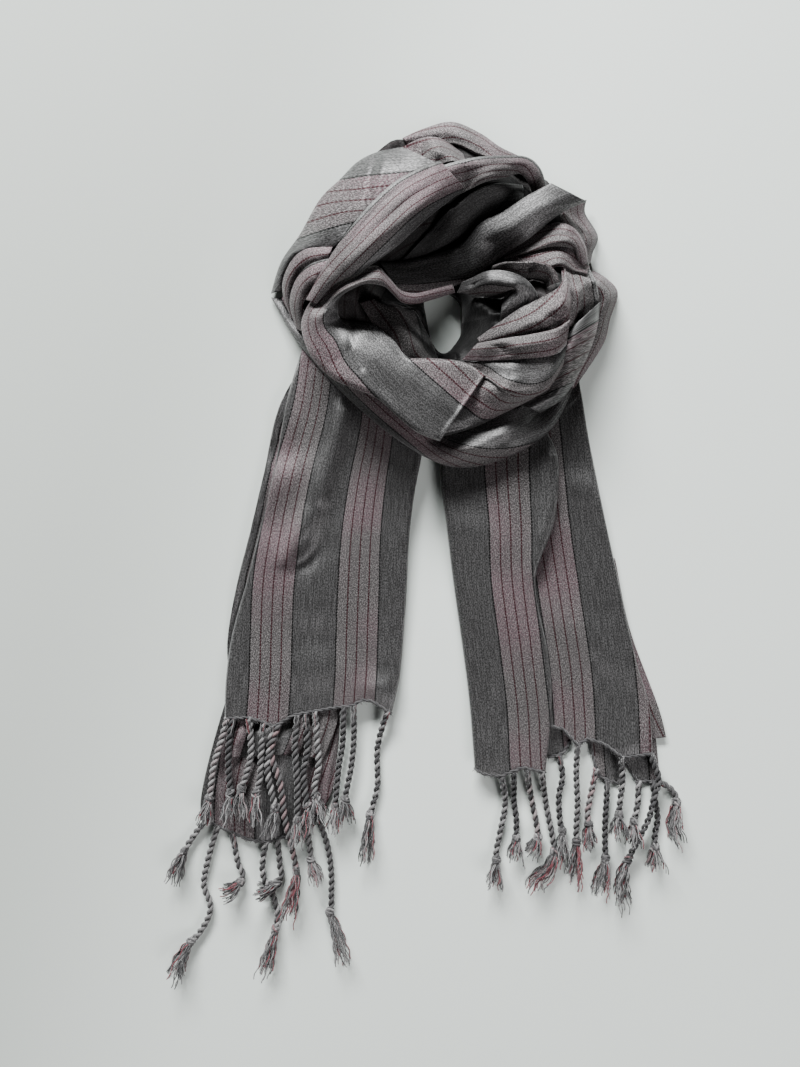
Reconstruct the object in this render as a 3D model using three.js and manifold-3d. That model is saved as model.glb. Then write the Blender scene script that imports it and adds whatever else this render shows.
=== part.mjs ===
// A thin striped scarf, wound into a ring with its two fringed ends lying side by side below it.
// Millimetres, +Z up. The scarf lies on the plane z = 0 and +Y points from the fringe to the ring.
import * as THREE from "three";
import { mergeVertices } from "three/addons/utils/BufferGeometryUtils.js";
import Module from "manifold-3d";

const wasm = await Module();
wasm.setup();

// Driving sizes
const WALL = 2; // cloth wall, a few plies of thin fabric
const LAYER_GAP = 0.35; // clear space between a layer and the one over it
const SEAM_GAP = 0.5; // clear space between a hem and the strip of its fringe
const SMALLEST_OVERLAP = 1e-5; // cubic millimetres
const MERGE_DISTANCE = 1e-4;
const TRIM_SIDE = 0.1; // a cut layer keeps this far beside the one that cuts it
const TRIM_MOVES = [
  [0, 0, 0],
  [0, 0, -LAYER_GAP],
  [TRIM_SIDE, 0, 0],
  [-TRIM_SIDE, 0, 0],
  [0, TRIM_SIDE, 0],
  [0, -TRIM_SIDE, 0],
];
const SIGHT_HEIGHT = 650; // the plan positions were read from this height above the middle of the table
const CENTRE_X = 20.9; // middle of the whole scarf in the plan, moved to the origin
const CENTRE_Y = -13.9;
const FLOOR_GAP = 0.3; // the cords' loose ends stay just clear of the surface
const CORD_RADIUS = 2.3; // twisted cord of the fringe
const KNOT_RADIUS = 3.7;
const TUFT_RADIUS = 3.6;
const STRIP_WIDTH = 3; // band of knotted roots along a hem
const STRIP_HEIGHT = 2;

// Fineness of the walls
const STEPS_ALONG = 2; // between two rows of a table, unless its stretch gives another
const STEPS_ACROSS = 3; // between the two rounded edges
const STEEP_SHARE = 0.3; // the steepest part of a rounded edge
const WIDEST_TURN = 1 / 3; // of a section, for each of its rounded edges
const CELL = 2; // cells of the height map that keeps the layers apart
const REACH = 6; // a layer gives way this far beside the one over it
const SLOPE_ROOM = 0.42; // share of the wall that stands over the middle of a sloping layer

const SATIN = new THREE.MeshStandardMaterial({ color: 0x7c787c, roughness: 0.45, metalness: 0 });
const SHADED = new THREE.MeshStandardMaterial({ color: 0x5d595c, roughness: 0.55, metalness: 0 });
const YARN = new THREE.MeshStandardMaterial({ color: 0x6b6768, roughness: 0.85, metalness: 0 });

// Turns the rows of a table into objects with the table's column names.
function table(columns, rows) {
  return rows.map((row) => Object.fromEntries(columns.map((column, i) => [column, row[i]])));
}

const SECTION = ["outerX", "outerY", "outerZ", "innerX", "innerY", "innerZ", "crown"];
const CREASE = ["fromX", "fromY", "toX", "toY", "height", "width"];
const HEM = ["x", "y"];

// The stretches of the ring that show, the uppermost first. A row is one section from the side away from the
// neck opening to the side at it, crown is the rise of the cloth over the straight line between the two edges,
// and turnOuter and turnInner are how far each folded edge rounds down.
const STRETCHES = [
  {
    name: "upper_band",
    turnOuter: 5,
    turnInner: 5,
    steps: 1,
    rows: [
      [-75, 187, 44, -67, 184, 46, 2],
      [-59, 216, 52, -53, 199, 56, 4],
      [-43, 240, 56, -30, 211, 58, 7],
      [-24, 263, 56, -4, 229, 56, 9],
      [-4, 281, 55, 20, 251, 54, 10],
      [16, 292, 54, 40, 267, 52, 10],
      [32, 298, 52, 52, 276, 50, 8],
    ],
  },
  {
    name: "front_inner_band",
    turnOuter: 5,
    turnInner: 4,
    steps: 1,
    rows: [
      [32, 74, 33, 68, 127, 50, 3],
      [14, 81, 33, 50, 137, 52, 5],
      [0, 92, 33, 26, 140, 52, 7],
      [-18, 108, 33, 6, 141, 52, 8],
      [-36, 116, 32, -6, 155, 48, 10],
      [-54, 124, 31, -22, 167, 42, 12],
      [-69, 139, 30, -38, 169, 36, 14],
      [-77, 156, 30, -48, 172, 36, 14],
      [-78, 172, 34, -50, 180, 42, 12],
      [-70, 187, 42, -48, 189, 50, 8],
      [-56, 197, 50, -38, 196, 55, 5],
      [-38, 208, 54, -26, 200, 57, 3],
      [-20, 214, 54, -13, 198, 56, 3],
      [-10, 206, 52, -6, 192, 52, 3],
      [0, 195, 48, 2, 185, 46, 2],
    ],
  },
  {
    name: "right_inner_band",
    turnOuter: 3,
    turnInner: 3,
    rows: [
      [50, 140, 44, 62, 152, 42, 1],
      [72, 140, 52, 84, 156, 54, 3],
      [96, 140, 54, 104, 159, 58, 3],
      [122, 143, 54, 125, 164, 60, 2],
      [133, 152, 50, 136, 171, 58, 1],
    ],
  },
  {
    name: "front_upper_face",
    turnOuter: 4,
    turnInner: 2,
    rows: [
      [50, 134, 52, 53, 141, 46, 1],
      [70, 127, 53, 72, 145, 46, 3],
      [84, 114, 50, 92, 147, 48, 5],
      [102, 110, 47, 110, 147, 48, 6],
      [118, 116, 44, 125, 148, 48, 5],
      [130, 134, 42, 134, 155, 46, 2],
    ],
  },
  {
    name: "front_right_side",
    turnOuter: 4,
    turnInner: 2,
    rows: [
      [28, 77, 28, 66, 130, 44, 0],
      [56, 84, 30, 78, 122, 46, 2],
      [80, 95, 30, 94, 114, 44, 2],
      [104, 107, 30, 107, 113, 40, 1],
      [120, 116, 28, 118, 121, 38, 1],
    ],
  },
  {
    name: "right_inner_fold",
    turnOuter: 2,
    turnInner: 4,
    rows: [
      [64, 152, 38, 62, 156, 36, 1],
      [88, 156, 50, 80, 169, 44, 4],
      [108, 159, 54, 96, 180, 48, 6],
      [124, 164, 55, 112, 188, 50, 7],
      [134, 172, 54, 128, 198, 51, 6],
      [137, 187, 50, 132, 212, 48, 4],
    ],
  },
  {
    name: "curl_large",
    turnOuter: 2,
    turnInner: 0,
    rows: [
      [45, 200, 40, 45, 194, 30, 1],
      [60, 207, 50, 62, 188, 26, 3],
      [78, 210, 54, 80, 187, 24, 3],
      [90, 206, 56, 86, 196, 32, 1],
      [96, 197, 56, 91, 194, 38, 0],
      [94, 188, 54, 91, 190, 40, 0],
      [85, 181, 50, 86, 184, 38, 0],
    ],
  },
  {
    name: "curl_small",
    turnOuter: 2,
    turnInner: 0,
    rows: [
      [80, 216, 40, 80, 211, 30, 1],
      [96, 217, 50, 98, 208, 34, 2],
      [112, 217, 54, 110, 206, 36, 2],
      [120, 212, 54, 115, 203, 40, 1],
      [122, 204, 52, 117, 200, 42, 0],
    ],
  },
  {
    name: "right_folds",
    turnOuter: 4,
    turnInner: 3,
    rows: [
      [154, 211, 38, 130, 214, 46, 2],
      [158, 199, 40, 131, 199, 50, 4],
      [161, 187, 40, 134, 183, 52, 5],
      [152, 172, 38, 137, 167, 50, 4],
    ],
  },
  {
    name: "right_lower_band",
    turnOuter: 5,
    turnInner: 3,
    rows: [
      [160, 185, 34, 140, 167, 44, 3],
      [158, 167, 30, 134, 156, 44, 6],
      [152, 147, 26, 130, 142, 42, 7],
      [142, 127, 22, 122, 126, 40, 6],
      [130, 108, 20, 110, 113, 36, 5],
      [112, 97, 20, 96, 104, 32, 3],
    ],
  },
  {
    name: "throat_band",
    turnOuter: 4,
    turnInner: 4,
    steps: 1,
    rows: [
      [121, 280, 42, 149, 266, 36, 4],
      [102, 270, 42, 128, 256, 38, 6],
      [82, 257, 36, 104, 237, 34, 6],
      [64, 248, 28, 84, 224, 26, 6],
      [50, 232, 20, 66, 211, 20, 5],
      [28, 223, 12, 48, 200, 14, 3],
      [0, 217, 9, 24, 193, 10, 2],
      [-16, 217, 9, 0, 193, 10, 1],
    ],
  },
  {
    name: "upper_arm",
    turnOuter: 4,
    turnInner: 4,
    rows: [
      [26, 292, 46, 46, 272, 44, 6],
      [56, 300, 49, 66, 281, 46, 5],
      [80, 302, 46, 84, 285, 42, 5],
      [101, 301, 40, 96, 288, 38, 4],
      [112, 292, 33, 103, 280, 31, 3],
      [117, 277, 24, 106, 270, 22, 2],
    ],
  },
  {
    name: "right_upper_fold",
    turnOuter: 3,
    turnInner: 4,
    rows: [
      [84, 229, 24, 84, 220, 22, 1],
      [104, 241, 32, 102, 225, 34, 3],
      [124, 249, 38, 122, 230, 40, 5],
      [139, 244, 38, 138, 228, 42, 5],
      [148, 230, 36, 142, 220, 40, 3],
      [150, 217, 32, 146, 214, 36, 2],
    ],
  },
  {
    name: "right_middle_fold",
    turnOuter: 3,
    turnInner: 1,
    rows: [
      [84, 224, 24, 84, 216, 26, 1],
      [104, 227, 38, 99, 208, 46, 3],
      [126, 232, 38, 126, 214, 44, 4],
      [142, 225, 38, 140, 211, 44, 4],
      [152, 214, 34, 150, 208, 38, 2],
    ],
  },
  {
    name: "right_flap",
    turnOuter: 4,
    turnInner: 3,
    rows: [
      [149, 267, 10, 128, 260, 34, 5],
      [148, 256, 8, 130, 249, 34, 6],
      [158, 238, 7, 139, 235, 34, 7],
      [154, 225, 11, 141, 222, 35, 6],
      [152, 216, 15, 138, 213, 34, 4],
    ],
  },
  {
    name: "right_outer_band",
    turnOuter: 4,
    turnInner: 3,
    rows: [
      [155, 210, 7, 145, 206, 26, 2],
      [166, 203, 8, 152, 197, 34, 5],
      [174, 192, 7, 156, 187, 34, 7],
      [168, 172, 7, 153, 169, 32, 6],
      [163, 153, 7, 147, 151, 28, 5],
      [150, 132, 7, 138, 132, 22, 3],
    ],
  },
  {
    name: "left_fold_inner",
    turnOuter: 3,
    turnInner: 2,
    rows: [
      [-56, 220, 42, -62, 199, 46, 3],
      [-72, 215, 38, -69, 195, 44, 4],
      [-83, 203, 30, -77, 187, 40, 4],
      [-88, 185, 24, -78, 177, 34, 3],
      [-83, 164, 16, -77, 161, 26, 2],
    ],
  },
  {
    name: "left_fold_outer",
    turnOuter: 3,
    turnInner: 2,
    rows: [
      [-54, 229, 38, -59, 217, 40, 3],
      [-76, 227, 30, -70, 212, 36, 4],
      [-89, 214, 22, -82, 203, 30, 4],
      [-94, 195, 14, -87, 188, 24, 3],
      [-87, 172, 12, -80, 171, 20, 2],
    ],
  },
  {
    name: "left_outer_face",
    turnOuter: 4,
    turnInner: 3,
    steps: 1,
    rows: [
      [-103, 192, 6, -94, 195, 12, 2],
      [-95, 217, 7, -80, 227, 28, 4],
      [-80, 239, 7, -53, 230, 38, 8],
      [-64, 267, 7, -35, 249, 44, 10],
      [-48, 283, 7, -19, 264, 46, 10],
      [-34, 297, 8, -4, 278, 44, 9],
      [-18, 305, 9, 12, 289, 42, 8],
      [2, 309, 12, 30, 296, 40, 6],
    ],
  },
  {
    name: "back_fold",
    turnOuter: 3,
    turnInner: 3,
    rows: [
      [-2, 310, 14, 12, 296, 34, 3],
      [16, 316, 16, 28, 298, 42, 6],
      [32, 316, 18, 42, 298, 44, 6],
      [50, 304, 22, 54, 294, 44, 2],
    ],
  },
  {
    name: "back_band",
    turnOuter: 3,
    turnInner: 3,
    steps: 1,
    rows: [
      [2, 316, 7, 10, 311, 12, 2],
      [20, 324, 7, 26, 313, 16, 4],
      [42, 329, 7, 44, 312, 20, 6],
      [64, 320, 8, 62, 303, 24, 7],
      [80, 309, 9, 75, 299, 28, 4],
      [98, 300, 9, 90, 292, 26, 3],
      [113, 288, 9, 104, 282, 20, 2],
    ],
  },
  {
    name: "throat_left_wall",
    turnOuter: 2,
    turnInner: 2,
    rows: [
      [-33, 190, 52, -6, 190, 36, 2],
      [-22, 173, 52, 10, 180, 24, 3],
      [-11, 159, 54, 18, 167, 14, 4],
      [-1, 141, 55, 26, 151, 12, 4],
      [9, 134, 52, 30, 140, 14, 3],
    ],
  },
  {
    name: "throat_back_wall",
    turnOuter: 2,
    turnInner: 2,
    steps: 1,
    rows: [
      [100, 284, 36, 100, 268, 32, -2],
      [80, 281, 38, 80, 257, 28, -3],
      [62, 275, 40, 62, 248, 20, -3],
      [44, 264, 40, 44, 235, 12, -3],
      [20, 247, 42, 24, 225, 8, -3],
      [-4, 227, 44, 0, 217, 8, -2],
    ],
  },
  {
    name: "front_outer_band",
    turnOuter: 6,
    turnInner: 2,
    rows: [
      [-103, 189, 7, -92, 190, 9, 1],
      [-80, 151, 14, -58, 163, 26, 5],
      [-44, 111, 18, -24, 128, 33, 6],
      [0, 74, 19, 12, 100, 36, 7],
      [40, 54, 19, 42, 82, 37, 7],
      [80, 59, 19, 74, 94, 36, 7],
      [120, 83, 17, 104, 112, 32, 7],
      [142, 123, 11, 122, 140, 26, 6],
    ],
  },
];

// The two fringed ends: panels from their left edge to their right edge, from the ring down to the hem.
const PANELS = [
  {
    name: "left_end_front",
    turnOuter: 3,
    turnInner: 3,
    across: 8,
    rows: [
      [-78, 148, 9, 20, 88, 9, 2],
      [-90, 107, 10, 17, 62, 10, 2],
      [-100, 53, 10, 11, 30, 10, 2],
      [-112, 2, 10, 7, -5, 10, 2],
      [-122, -37, 9, 5, -45, 9, 2],
      [-134, -81, 8, 2, -88, 8, 1],
      [-139, -117, 9, -1, -118, 9, 0],
      [-140, -147, 9, -7, -144, 9, 0],
    ],
    creases: [
      [-44, 98, -66, 30, 5, 9],
      [-66, 30, -92, -20, 4, 8],
      [-56, 4, -80, -24, -2.5, 7],
    ],
    hem: [
      [-141, -148],
      [-121, -147],
      [-100, -154],
      [-85, -145],
      [-52, -139],
      [-39, -138],
      [-30, -133],
      [-22, -134],
      [-7, -144],
    ],
  },
  {
    name: "left_end_middle",
    turnOuter: 0,
    turnInner: 0,
    across: 5,
    rows: [
      [-126, -116, 3.3, -46, -116, 3.3, 0],
      [-130, -150, 3.3, -50, -150, 3.3, 0],
      [-138, -179, 3.3, -62, -178, 3.3, 0],
    ],
    hem: [
      [-138, -179],
      [-110, -179],
      [-84, -176],
      [-62, -181],
    ],
  },
  {
    name: "left_end_back",
    turnOuter: 0,
    turnInner: 0,
    across: 6,
    rows: [
      [-134, -116, 1, -46, -116, 1, 0],
      [-150, -170, 1, -50, -175, 1, 0],
      [-159, -210, 1, -54, -205, 1, 0],
      [-159, -228, 1, -64, -224, 1, 0],
    ],
    hem: [
      [-159, -228],
      [-123, -244],
      [-107, -247],
      [-88, -241],
      [-64, -224],
    ],
  },
  {
    name: "right_end_left_panel",
    turnOuter: 5,
    turnInner: 3,
    across: 6,
    rows: [
      [38, 72, 11, 112, 90, 11, 2],
      [32, 50, 12, 126, 60, 12, 2],
      [37, 9, 12, 123, 9, 12, 2],
      [43, -40, 12, 108, -38, 12, 2],
      [51, -96, 12, 118, -96, 12, 1],
      [56, -137, 12, 121, -137, 12, 0],
      [60, -188, 11, 116, -190, 11, 0],
    ],
    creases: [[122, 60, 112, -30, 4, 8]],
    hem: [
      [60, -188],
      [66, -192],
      [80, -194],
      [98, -187],
      [116, -191],
    ],
  },
  {
    name: "right_end_right_panel",
    turnOuter: 0,
    turnInner: 2,
    across: 6,
    rows: [
      [112, 116, 7, 144, 124, 7, 1],
      [108, 75, 7, 150, 80, 7, 1],
      [104, 9, 7, 163, 15, 7, 1],
      [98, -40, 7, 175, -40, 7, 1],
      [104, -96, 7, 188, -100, 7.5, 0],
      [108, -137, 7, 199, -137, 7.5, 0],
      [112, -152, 7, 202, -174, 7.5, 0],
    ],
    hem: [
      [112, -152],
      [130, -156],
      [142, -169],
      [150, -164],
      [163, -168],
      [178, -179],
      [202, -176],
    ],
  },
  {
    name: "right_end_side",
    turnOuter: 0,
    turnInner: 0,
    across: 2,
    rows: [
      [160, -20, 3.4, 172, -20, 3.4, 0],
      [168, -77, 3.4, 184, -77, 3.4, 0],
      [182, -137, 3.4, 206, -137, 3.4, 0],
      [194, -165, 3.4, 213, -163, 3.4, 0],
    ],
  },
  {
    name: "right_end_back",
    turnOuter: 0,
    turnInner: 0,
    across: 9,
    rows: [
      [110, -118, 1, 192, -118, 1, 0],
      [114, -140, 1, 202, -145, 1, 0],
      [118, -178, 1, 208, -198, 1, 0],
    ],
    hem: [
      [118, -179],
      [130, -176],
      [138, -163],
      [151, -164],
      [158, -194],
      [175, -200],
      [180, -184],
      [190, -198],
      [208, -198],
    ],
  },
];

// The hidden layers under the ring: a heap with a flat underside and the neck opening through it.
const HEAP_X = 34;
const HEAP_Y = 165;
const HEAP = table(
  ["angle", "inner", "outer", "height"],
  [
    [0, 17, 130, 48],
    [30, 21, 128, 52],
    [60, 27, 142, 44],
    [90, 29, 155, 40],
    [120, 27, 143, 44],
    [150, 22, 128, 42],
    [180, 17, 112, 38],
    [210, 19, 72, 38],
    [240, 24, 66, 38],
    [270, 27, 76, 38],
    [300, 24, 96, 40],
    [330, 19, 100, 42],
    [360, 17, 130, 48],
  ],
);
const HEAP_STEP = 30; // degrees between two rows
const HEAP_TURNS = 60; // sections round the heap
const HEAP_RINGS = 7;
const HEAP_LEAST = 2.2; // thinnest part of the heap
const HEAP_NARROWEST = 20; // from its inner to its outer side
const DOME_START = 0.06; // the dome's section is a half wave without its two ends
const DOME_SPAN = 0.88;
const DOME_FULLNESS = 0.7; // below 1 the dome is flatter on top

// The hidden layers of each end: sections of a flat stack whose sides show the edges of its layers.
const STACK_LAYERS = 3;
const INNER_LAYER_BULGE = 0.5; // how far the middle layer's edge stands out against the others
const STACKS = [
  {
    name: "left_end_layers",
    rows: [
      [-74, 140, 8, 12, 92, 8, 0],
      [-96, 100, 8, 13, 58, 8, 0],
      [-107, 50, 8, 7, 30, 8, 0],
      [-119, 0, 8, 3, -5, 8, 0],
      [-129, -40, 7, 1, -45, 7, 0],
      [-137, -81, 6, -2, -88, 6, 0],
      [-137, -103, 5, -4, -104, 5, 0],
    ],
  },
  {
    name: "right_end_layers",
    rows: [
      [46, 78, 9, 102, 94, 9, 0],
      [36, 48, 10, 98, 56, 10, 0],
      [41, 9, 10, 94, 9, 10, 0],
      [47, -40, 10, 88, -38, 10, 0],
      [55, -96, 10, 94, -96, 10, 0],
      [59, -137, 10, 98, -137, 10, 0],
      [63, -184, 9, 104, -184, 9, 0],
    ],
  },
  {
    name: "right_end_side_layers",
    rows: [
      [108, 108, 5, 140, 116, 5, 0],
      [106, 75, 5, 147, 80, 5, 0],
      [104, 9, 5, 160, 15, 5, 0],
      [96, -40, 5, 158, -40, 5, 0],
      [102, -96, 5, 164, -98, 5, 0],
      [104, -106, 5, 168, -107, 5, 0],
    ],
  },
];

// The fringe: the cords of each hem, each rooted at rootX. Columns of points: x, y, z. The cord's knot is at
// the point that knot numbers from the root, and what follows it is a loose tuft.
const FRINGES = [
  {
    name: "fringe_left_front",
    hem: "left_end_front",
    cords: [
      {
        rootX: -10,
        knot: 4,
        points: [
          [-18, -170, 3], [-18, -200, 3], [-22, -218, 3],
          [-24, -226, 4], [-26, -245, 4], [-28, -266, 4],
        ],
      },
      {
        rootX: -45,
        knot: 4,
        points: [[-46, -168, 6], [-49, -186, 6], [-51, -208, 6], [-52, -220, 6], [-52, -238, 6]],
      },
      {
        rootX: -37,
        knot: 4,
        points: [[-37, -164, 6], [-39, -186, 6], [-43, -206, 6], [-44, -214, 6], [-43, -232, 6]],
      },
      {
        rootX: -82,
        knot: 4,
        points: [[-84, -170, 9], [-82, -200, 9], [-82, -222, 9], [-82, -230, 9], [-82, -250, 8]],
      },
      {
        rootX: -97,
        knot: 5,
        points: [
          [-103, -175, 9], [-96, -200, 9], [-92, -229, 8], [-87, -250, 7],
          [-83, -271, 6], [-86, -289, 5], [-91, -311, 4],
        ],
      },
      {
        rootX: -109,
        knot: 3,
        points: [[-111, -175, 9], [-112, -196, 9], [-115, -209, 9], [-114, -232, 9]],
      },
      {
        rootX: -121,
        knot: 3,
        points: [[-119, -173, 9], [-123, -193, 8], [-127, -206, 7], [-125, -228, 8]],
      },
      {
        rootX: -134,
        knot: 3,
        points: [[-137, -172, 8], [-137, -192, 7], [-136, -210, 7], [-138, -232, 8]],
      },
      {
        rootX: -138,
        knot: 4,
        points: [[-143, -166, 8], [-149, -186, 8], [-151, -202, 7], [-153, -214, 7], [-158, -233, 8]],
      },
      {
        rootX: -103,
        knot: 4,
        points: [[-104, -170, 9], [-106, -188, 9], [-103, -206, 9], [-100, -222, 9], [-104, -242, 9]],
      },
      {
        rootX: -76,
        knot: 4,
        points: [[-74, -170, 8], [-77, -190, 8], [-76, -206, 8], [-74, -220, 8], [-75, -240, 8]],
      },
      {
        rootX: -68,
        knot: 4,
        points: [[-66, -168, 8], [-65, -186, 8], [-68, -200, 8], [-67, -212, 8], [-63, -230, 8]],
      },
    ],
  },
  {
    name: "fringe_left_back",
    hem: "left_end_back",
    cords: [
      {
        rootX: -156,
        knot: 2,
        points: [[-166, -243, 3], [-173, -255, 4], [-178, -266, 4], [-182, -279, 4]],
      },
      {
        rootX: -146,
        knot: 6,
        points: [
          [-154, -262, 3], [-157, -281, 3], [-152, -295, 3], [-153, -306, 3],
          [-161, -320, 3], [-168, -327, 4], [-176, -341, 4], [-181, -357, 4],
        ],
      },
      {
        rootX: -134,
        knot: 3,
        points: [[-130, -262, 3], [-126, -272, 3], [-128, -279, 4], [-136, -285, 4], [-144, -286, 4]],
      },
      {
        rootX: -107,
        knot: 5,
        points: [
          [-110, -262, 3], [-109, -276, 3], [-102, -289, 3], [-98, -304, 3],
          [-100, -318, 4], [-104, -333, 4], [-110, -356, 4],
        ],
      },
      {
        rootX: -98,
        knot: 3,
        points: [[-96, -266, 3], [-95, -273, 3], [-99, -280, 3], [-107, -285, 4], [-116, -288, 4]],
      },
      {
        rootX: -75,
        knot: 2,
        points: [[-72, -252, 3], [-71, -262, 4], [-68, -270, 4], [-65, -280, 4]],
      },
      {
        rootX: -66,
        knot: 5,
        points: [
          [-58, -250, 3], [-55, -272, 3], [-55, -289, 3], [-55, -297, 3],
          [-56, -304, 4], [-51, -321, 4], [-45, -348, 4],
        ],
      },
    ],
  },
  {
    name: "fringe_right_left",
    hem: "right_end_left_panel",
    cords: [
      {
        rootX: 80,
        knot: 4,
        points: [[84, -216, 3], [80, -239, 3], [77, -254, 3], [77, -263, 4], [74, -283, 4]],
      },
      {
        rootX: 90,
        knot: 4,
        points: [[91, -212, 3], [93, -228, 3], [93, -238, 3], [93, -245, 4], [91, -262, 4]],
      },
      {
        rootX: 100,
        knot: 4,
        points: [[105, -212, 3], [108, -226, 3], [110, -238, 3], [110, -244, 4], [104, -258, 4]],
      },
      {
        rootX: 112,
        knot: 4,
        points: [
          [116, -212, 3], [119, -228, 3], [122, -243, 3], [123, -256, 4],
          [118, -269, 4], [110, -276, 4], [106, -286, 4],
        ],
      },
    ],
  },
  {
    name: "fringe_right_front",
    hem: "right_end_right_panel",
    cords: [
      {
        rootX: 142,
        knot: 5,
        points: [
          [141, -191, 6], [142, -216, 5], [141, -234, 4],
          [141, -242, 4], [141, -248, 4], [138, -283, 4],
        ],
      },
      {
        rootX: 176,
        knot: 3,
        points: [[178, -197, 6], [176, -214, 5], [175, -226, 4], [174, -244, 4]],
      },
      {
        rootX: 200,
        knot: 5,
        points: [
          [207, -196, 7], [203, -212, 9], [199, -228, 9], [190, -246, 9],
          [182, -262, 6], [178, -280, 4], [180, -300, 4],
        ],
      },
    ],
  },
  {
    name: "fringe_right_back",
    hem: "right_end_back",
    cords: [
      {
        rootX: 127,
        knot: 4,
        points: [[130, -194, 3], [127, -210, 3], [128, -230, 3], [130, -240, 4], [130, -268, 4]],
      },
      {
        rootX: 157,
        knot: 3,
        points: [[152, -212, 3], [150, -224, 3], [151, -234, 4], [152, -254, 4]],
      },
      {
        rootX: 166,
        knot: 4,
        points: [[165, -216, 3], [164, -231, 3], [164, -250, 3], [164, -262, 4], [157, -291, 4]],
      },
      {
        rootX: 191,
        knot: 3,
        points: [[190, -216, 3], [188, -226, 3], [187, -232, 4], [188, -250, 4]],
      },
      {
        rootX: 202,
        knot: 4,
        points: [[204, -214, 3], [206, -228, 3], [204, -240, 3], [204, -252, 4], [204, -268, 4]],
      },
      {
        rootX: 207,
        knot: 3,
        points: [[215, -203, 3], [220, -209, 3], [221, -216, 4], [219, -232, 4], [224, -249, 4]],
      },
    ],
  },
];

// True place of a plan position at height z: a raised point stands nearer the middle than it looks.
function placed(x, y, z) {
  const share = 1 - z / SIGHT_HEIGHT;
  return new THREE.Vector3(x * share, y * share, z);
}

function smooth(before, from, to, after, share) {
  const a = 2 * from;
  const b = to - before;
  const c = 2 * before - 5 * from + 4 * to - after;
  const d = -before + 3 * from - 3 * to + after;
  return 0.5 * (a + b * share + c * share * share + d * share ** 3);
}

// The row at a place between the rows of a table, with every column on a smooth curve.
function rowAt(rows, place) {
  const index = Math.min(Math.floor(place), rows.length - 2);
  const share = place - index;
  const row = (i) => rows[Math.min(Math.max(i, 0), rows.length - 1)];
  const mixed = {};
  for (const column of Object.keys(rows[0])) {
    mixed[column] = smooth(
      row(index - 1)[column],
      row(index)[column],
      row(index + 1)[column],
      row(index + 2)[column],
      share,
    );
  }
  return mixed;
}

// How far a folded edge has rounded down at a distance from it: a quarter circle of radius turn.
function fallAt(distance, turn) {
  if (turn <= 0 || distance >= turn) return 0;
  const share = 1 - distance / turn;
  return turn * (1 - Math.sqrt(1 - share * share));
}

// Distances across a section: close together in the rounded edges and even between them.
function stationsAcross(length, outer, inner, across) {
  const stations = outer > 0 ? [0, outer * STEEP_SHARE] : [];
  for (let i = 0; i <= across; i++) {
    stations.push(outer + ((length - outer - inner) * i) / across);
  }
  if (inner > 0) stations.push(length - inner * STEEP_SHARE, length);
  return stations;
}

// Height that the soft creases add at a plan position.
function creaseAt(creases, x, y) {
  let height = 0;
  for (const crease of creases) {
    const runX = crease.toX - crease.fromX;
    const runY = crease.toY - crease.fromY;
    const along = ((x - crease.fromX) * runX + (y - crease.fromY) * runY) / (runX ** 2 + runY ** 2);
    const nearest = Math.min(Math.max(along, 0), 1);
    const offX = x - crease.fromX - runX * nearest;
    const offY = y - crease.fromY - runY * nearest;
    height += crease.height * Math.exp(-(offX ** 2 + offY ** 2) / crease.width ** 2);
  }
  return height;
}

// Plan y of a hem at a plan x.
function hemAt(hem, x) {
  const last = hem.length - 1;
  if (x <= hem[0].x) return hem[0].y;
  if (x >= hem[last].x) return hem[last].y;
  const next = hem.findIndex((point) => point.x > x);
  const share = (x - hem[next - 1].x) / (hem[next].x - hem[next - 1].x);
  return hem[next - 1].y + share * (hem[next].y - hem[next - 1].y);
}

// The middle surface of a stretch as a grid of points, a line of points for each section.
function middleSurface(stretch) {
  const rows = table(SECTION, stretch.rows);
  const creases = table(CREASE, stretch.creases ?? []);
  const hem = stretch.hem ? table(HEM, stretch.hem) : null;
  const across = stretch.across ?? STEPS_ACROSS;
  const steps = stretch.steps ?? STEPS_ALONG;
  const sections = (rows.length - 1) * steps;
  const last = rows.at(-1);
  const grid = [];
  for (let i = 0; i <= sections; i++) {
    const row = rowAt(rows, i / steps);
    const length = Math.hypot(row.innerX - row.outerX, row.innerY - row.outerY, row.innerZ - row.outerZ);
    const outer = Math.min(stretch.turnOuter, length * WIDEST_TURN);
    const inner = Math.min(stretch.turnInner, length * WIDEST_TURN);
    const line = stationsAcross(length, outer, inner, across).map((distance) => {
      const share = distance / length;
      const x = row.outerX + share * (row.innerX - row.outerX);
      let y = row.outerY + share * (row.innerY - row.outerY);
      let z = row.outerZ + share * (row.innerZ - row.outerZ);
      z += row.crown * Math.sin(Math.PI * share) + creaseAt(creases, x, y);
      z -= fallAt(distance, outer);
      z -= fallAt(length - distance, inner);
      if (hem && i > sections - steps) {
        const nearHem = 1 - (sections - i) / steps;
        const straight = last.outerY + share * (last.innerY - last.outerY);
        y += nearHem * (hemAt(hem, x) - straight);
      }
      return placed(x, y, z);
    });
    grid.push(line);
  }
  return grid;
}

// Height map of the lowest cloth over each cell, which what lies beneath stays under.
const MAP_X = -210;
const MAP_Y = -390;
const MAP_COLUMNS = 230;
const MAP_ROWS = 370;
const lowest = new Float32Array(MAP_COLUMNS * MAP_ROWS).fill(Infinity);
const ceiling = new Float32Array(MAP_COLUMNS * MAP_ROWS).fill(Infinity);

function cellOf(x, y) {
  return [Math.floor((x - MAP_X) / CELL), Math.floor((y - MAP_Y) / CELL)];
}

function ceilingAt(x, y) {
  const [column, row] = cellOf(x, y);
  if (column < 0 || row < 0 || column >= MAP_COLUMNS || row >= MAP_ROWS) return Infinity;
  return ceiling[row * MAP_COLUMNS + column];
}

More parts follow.
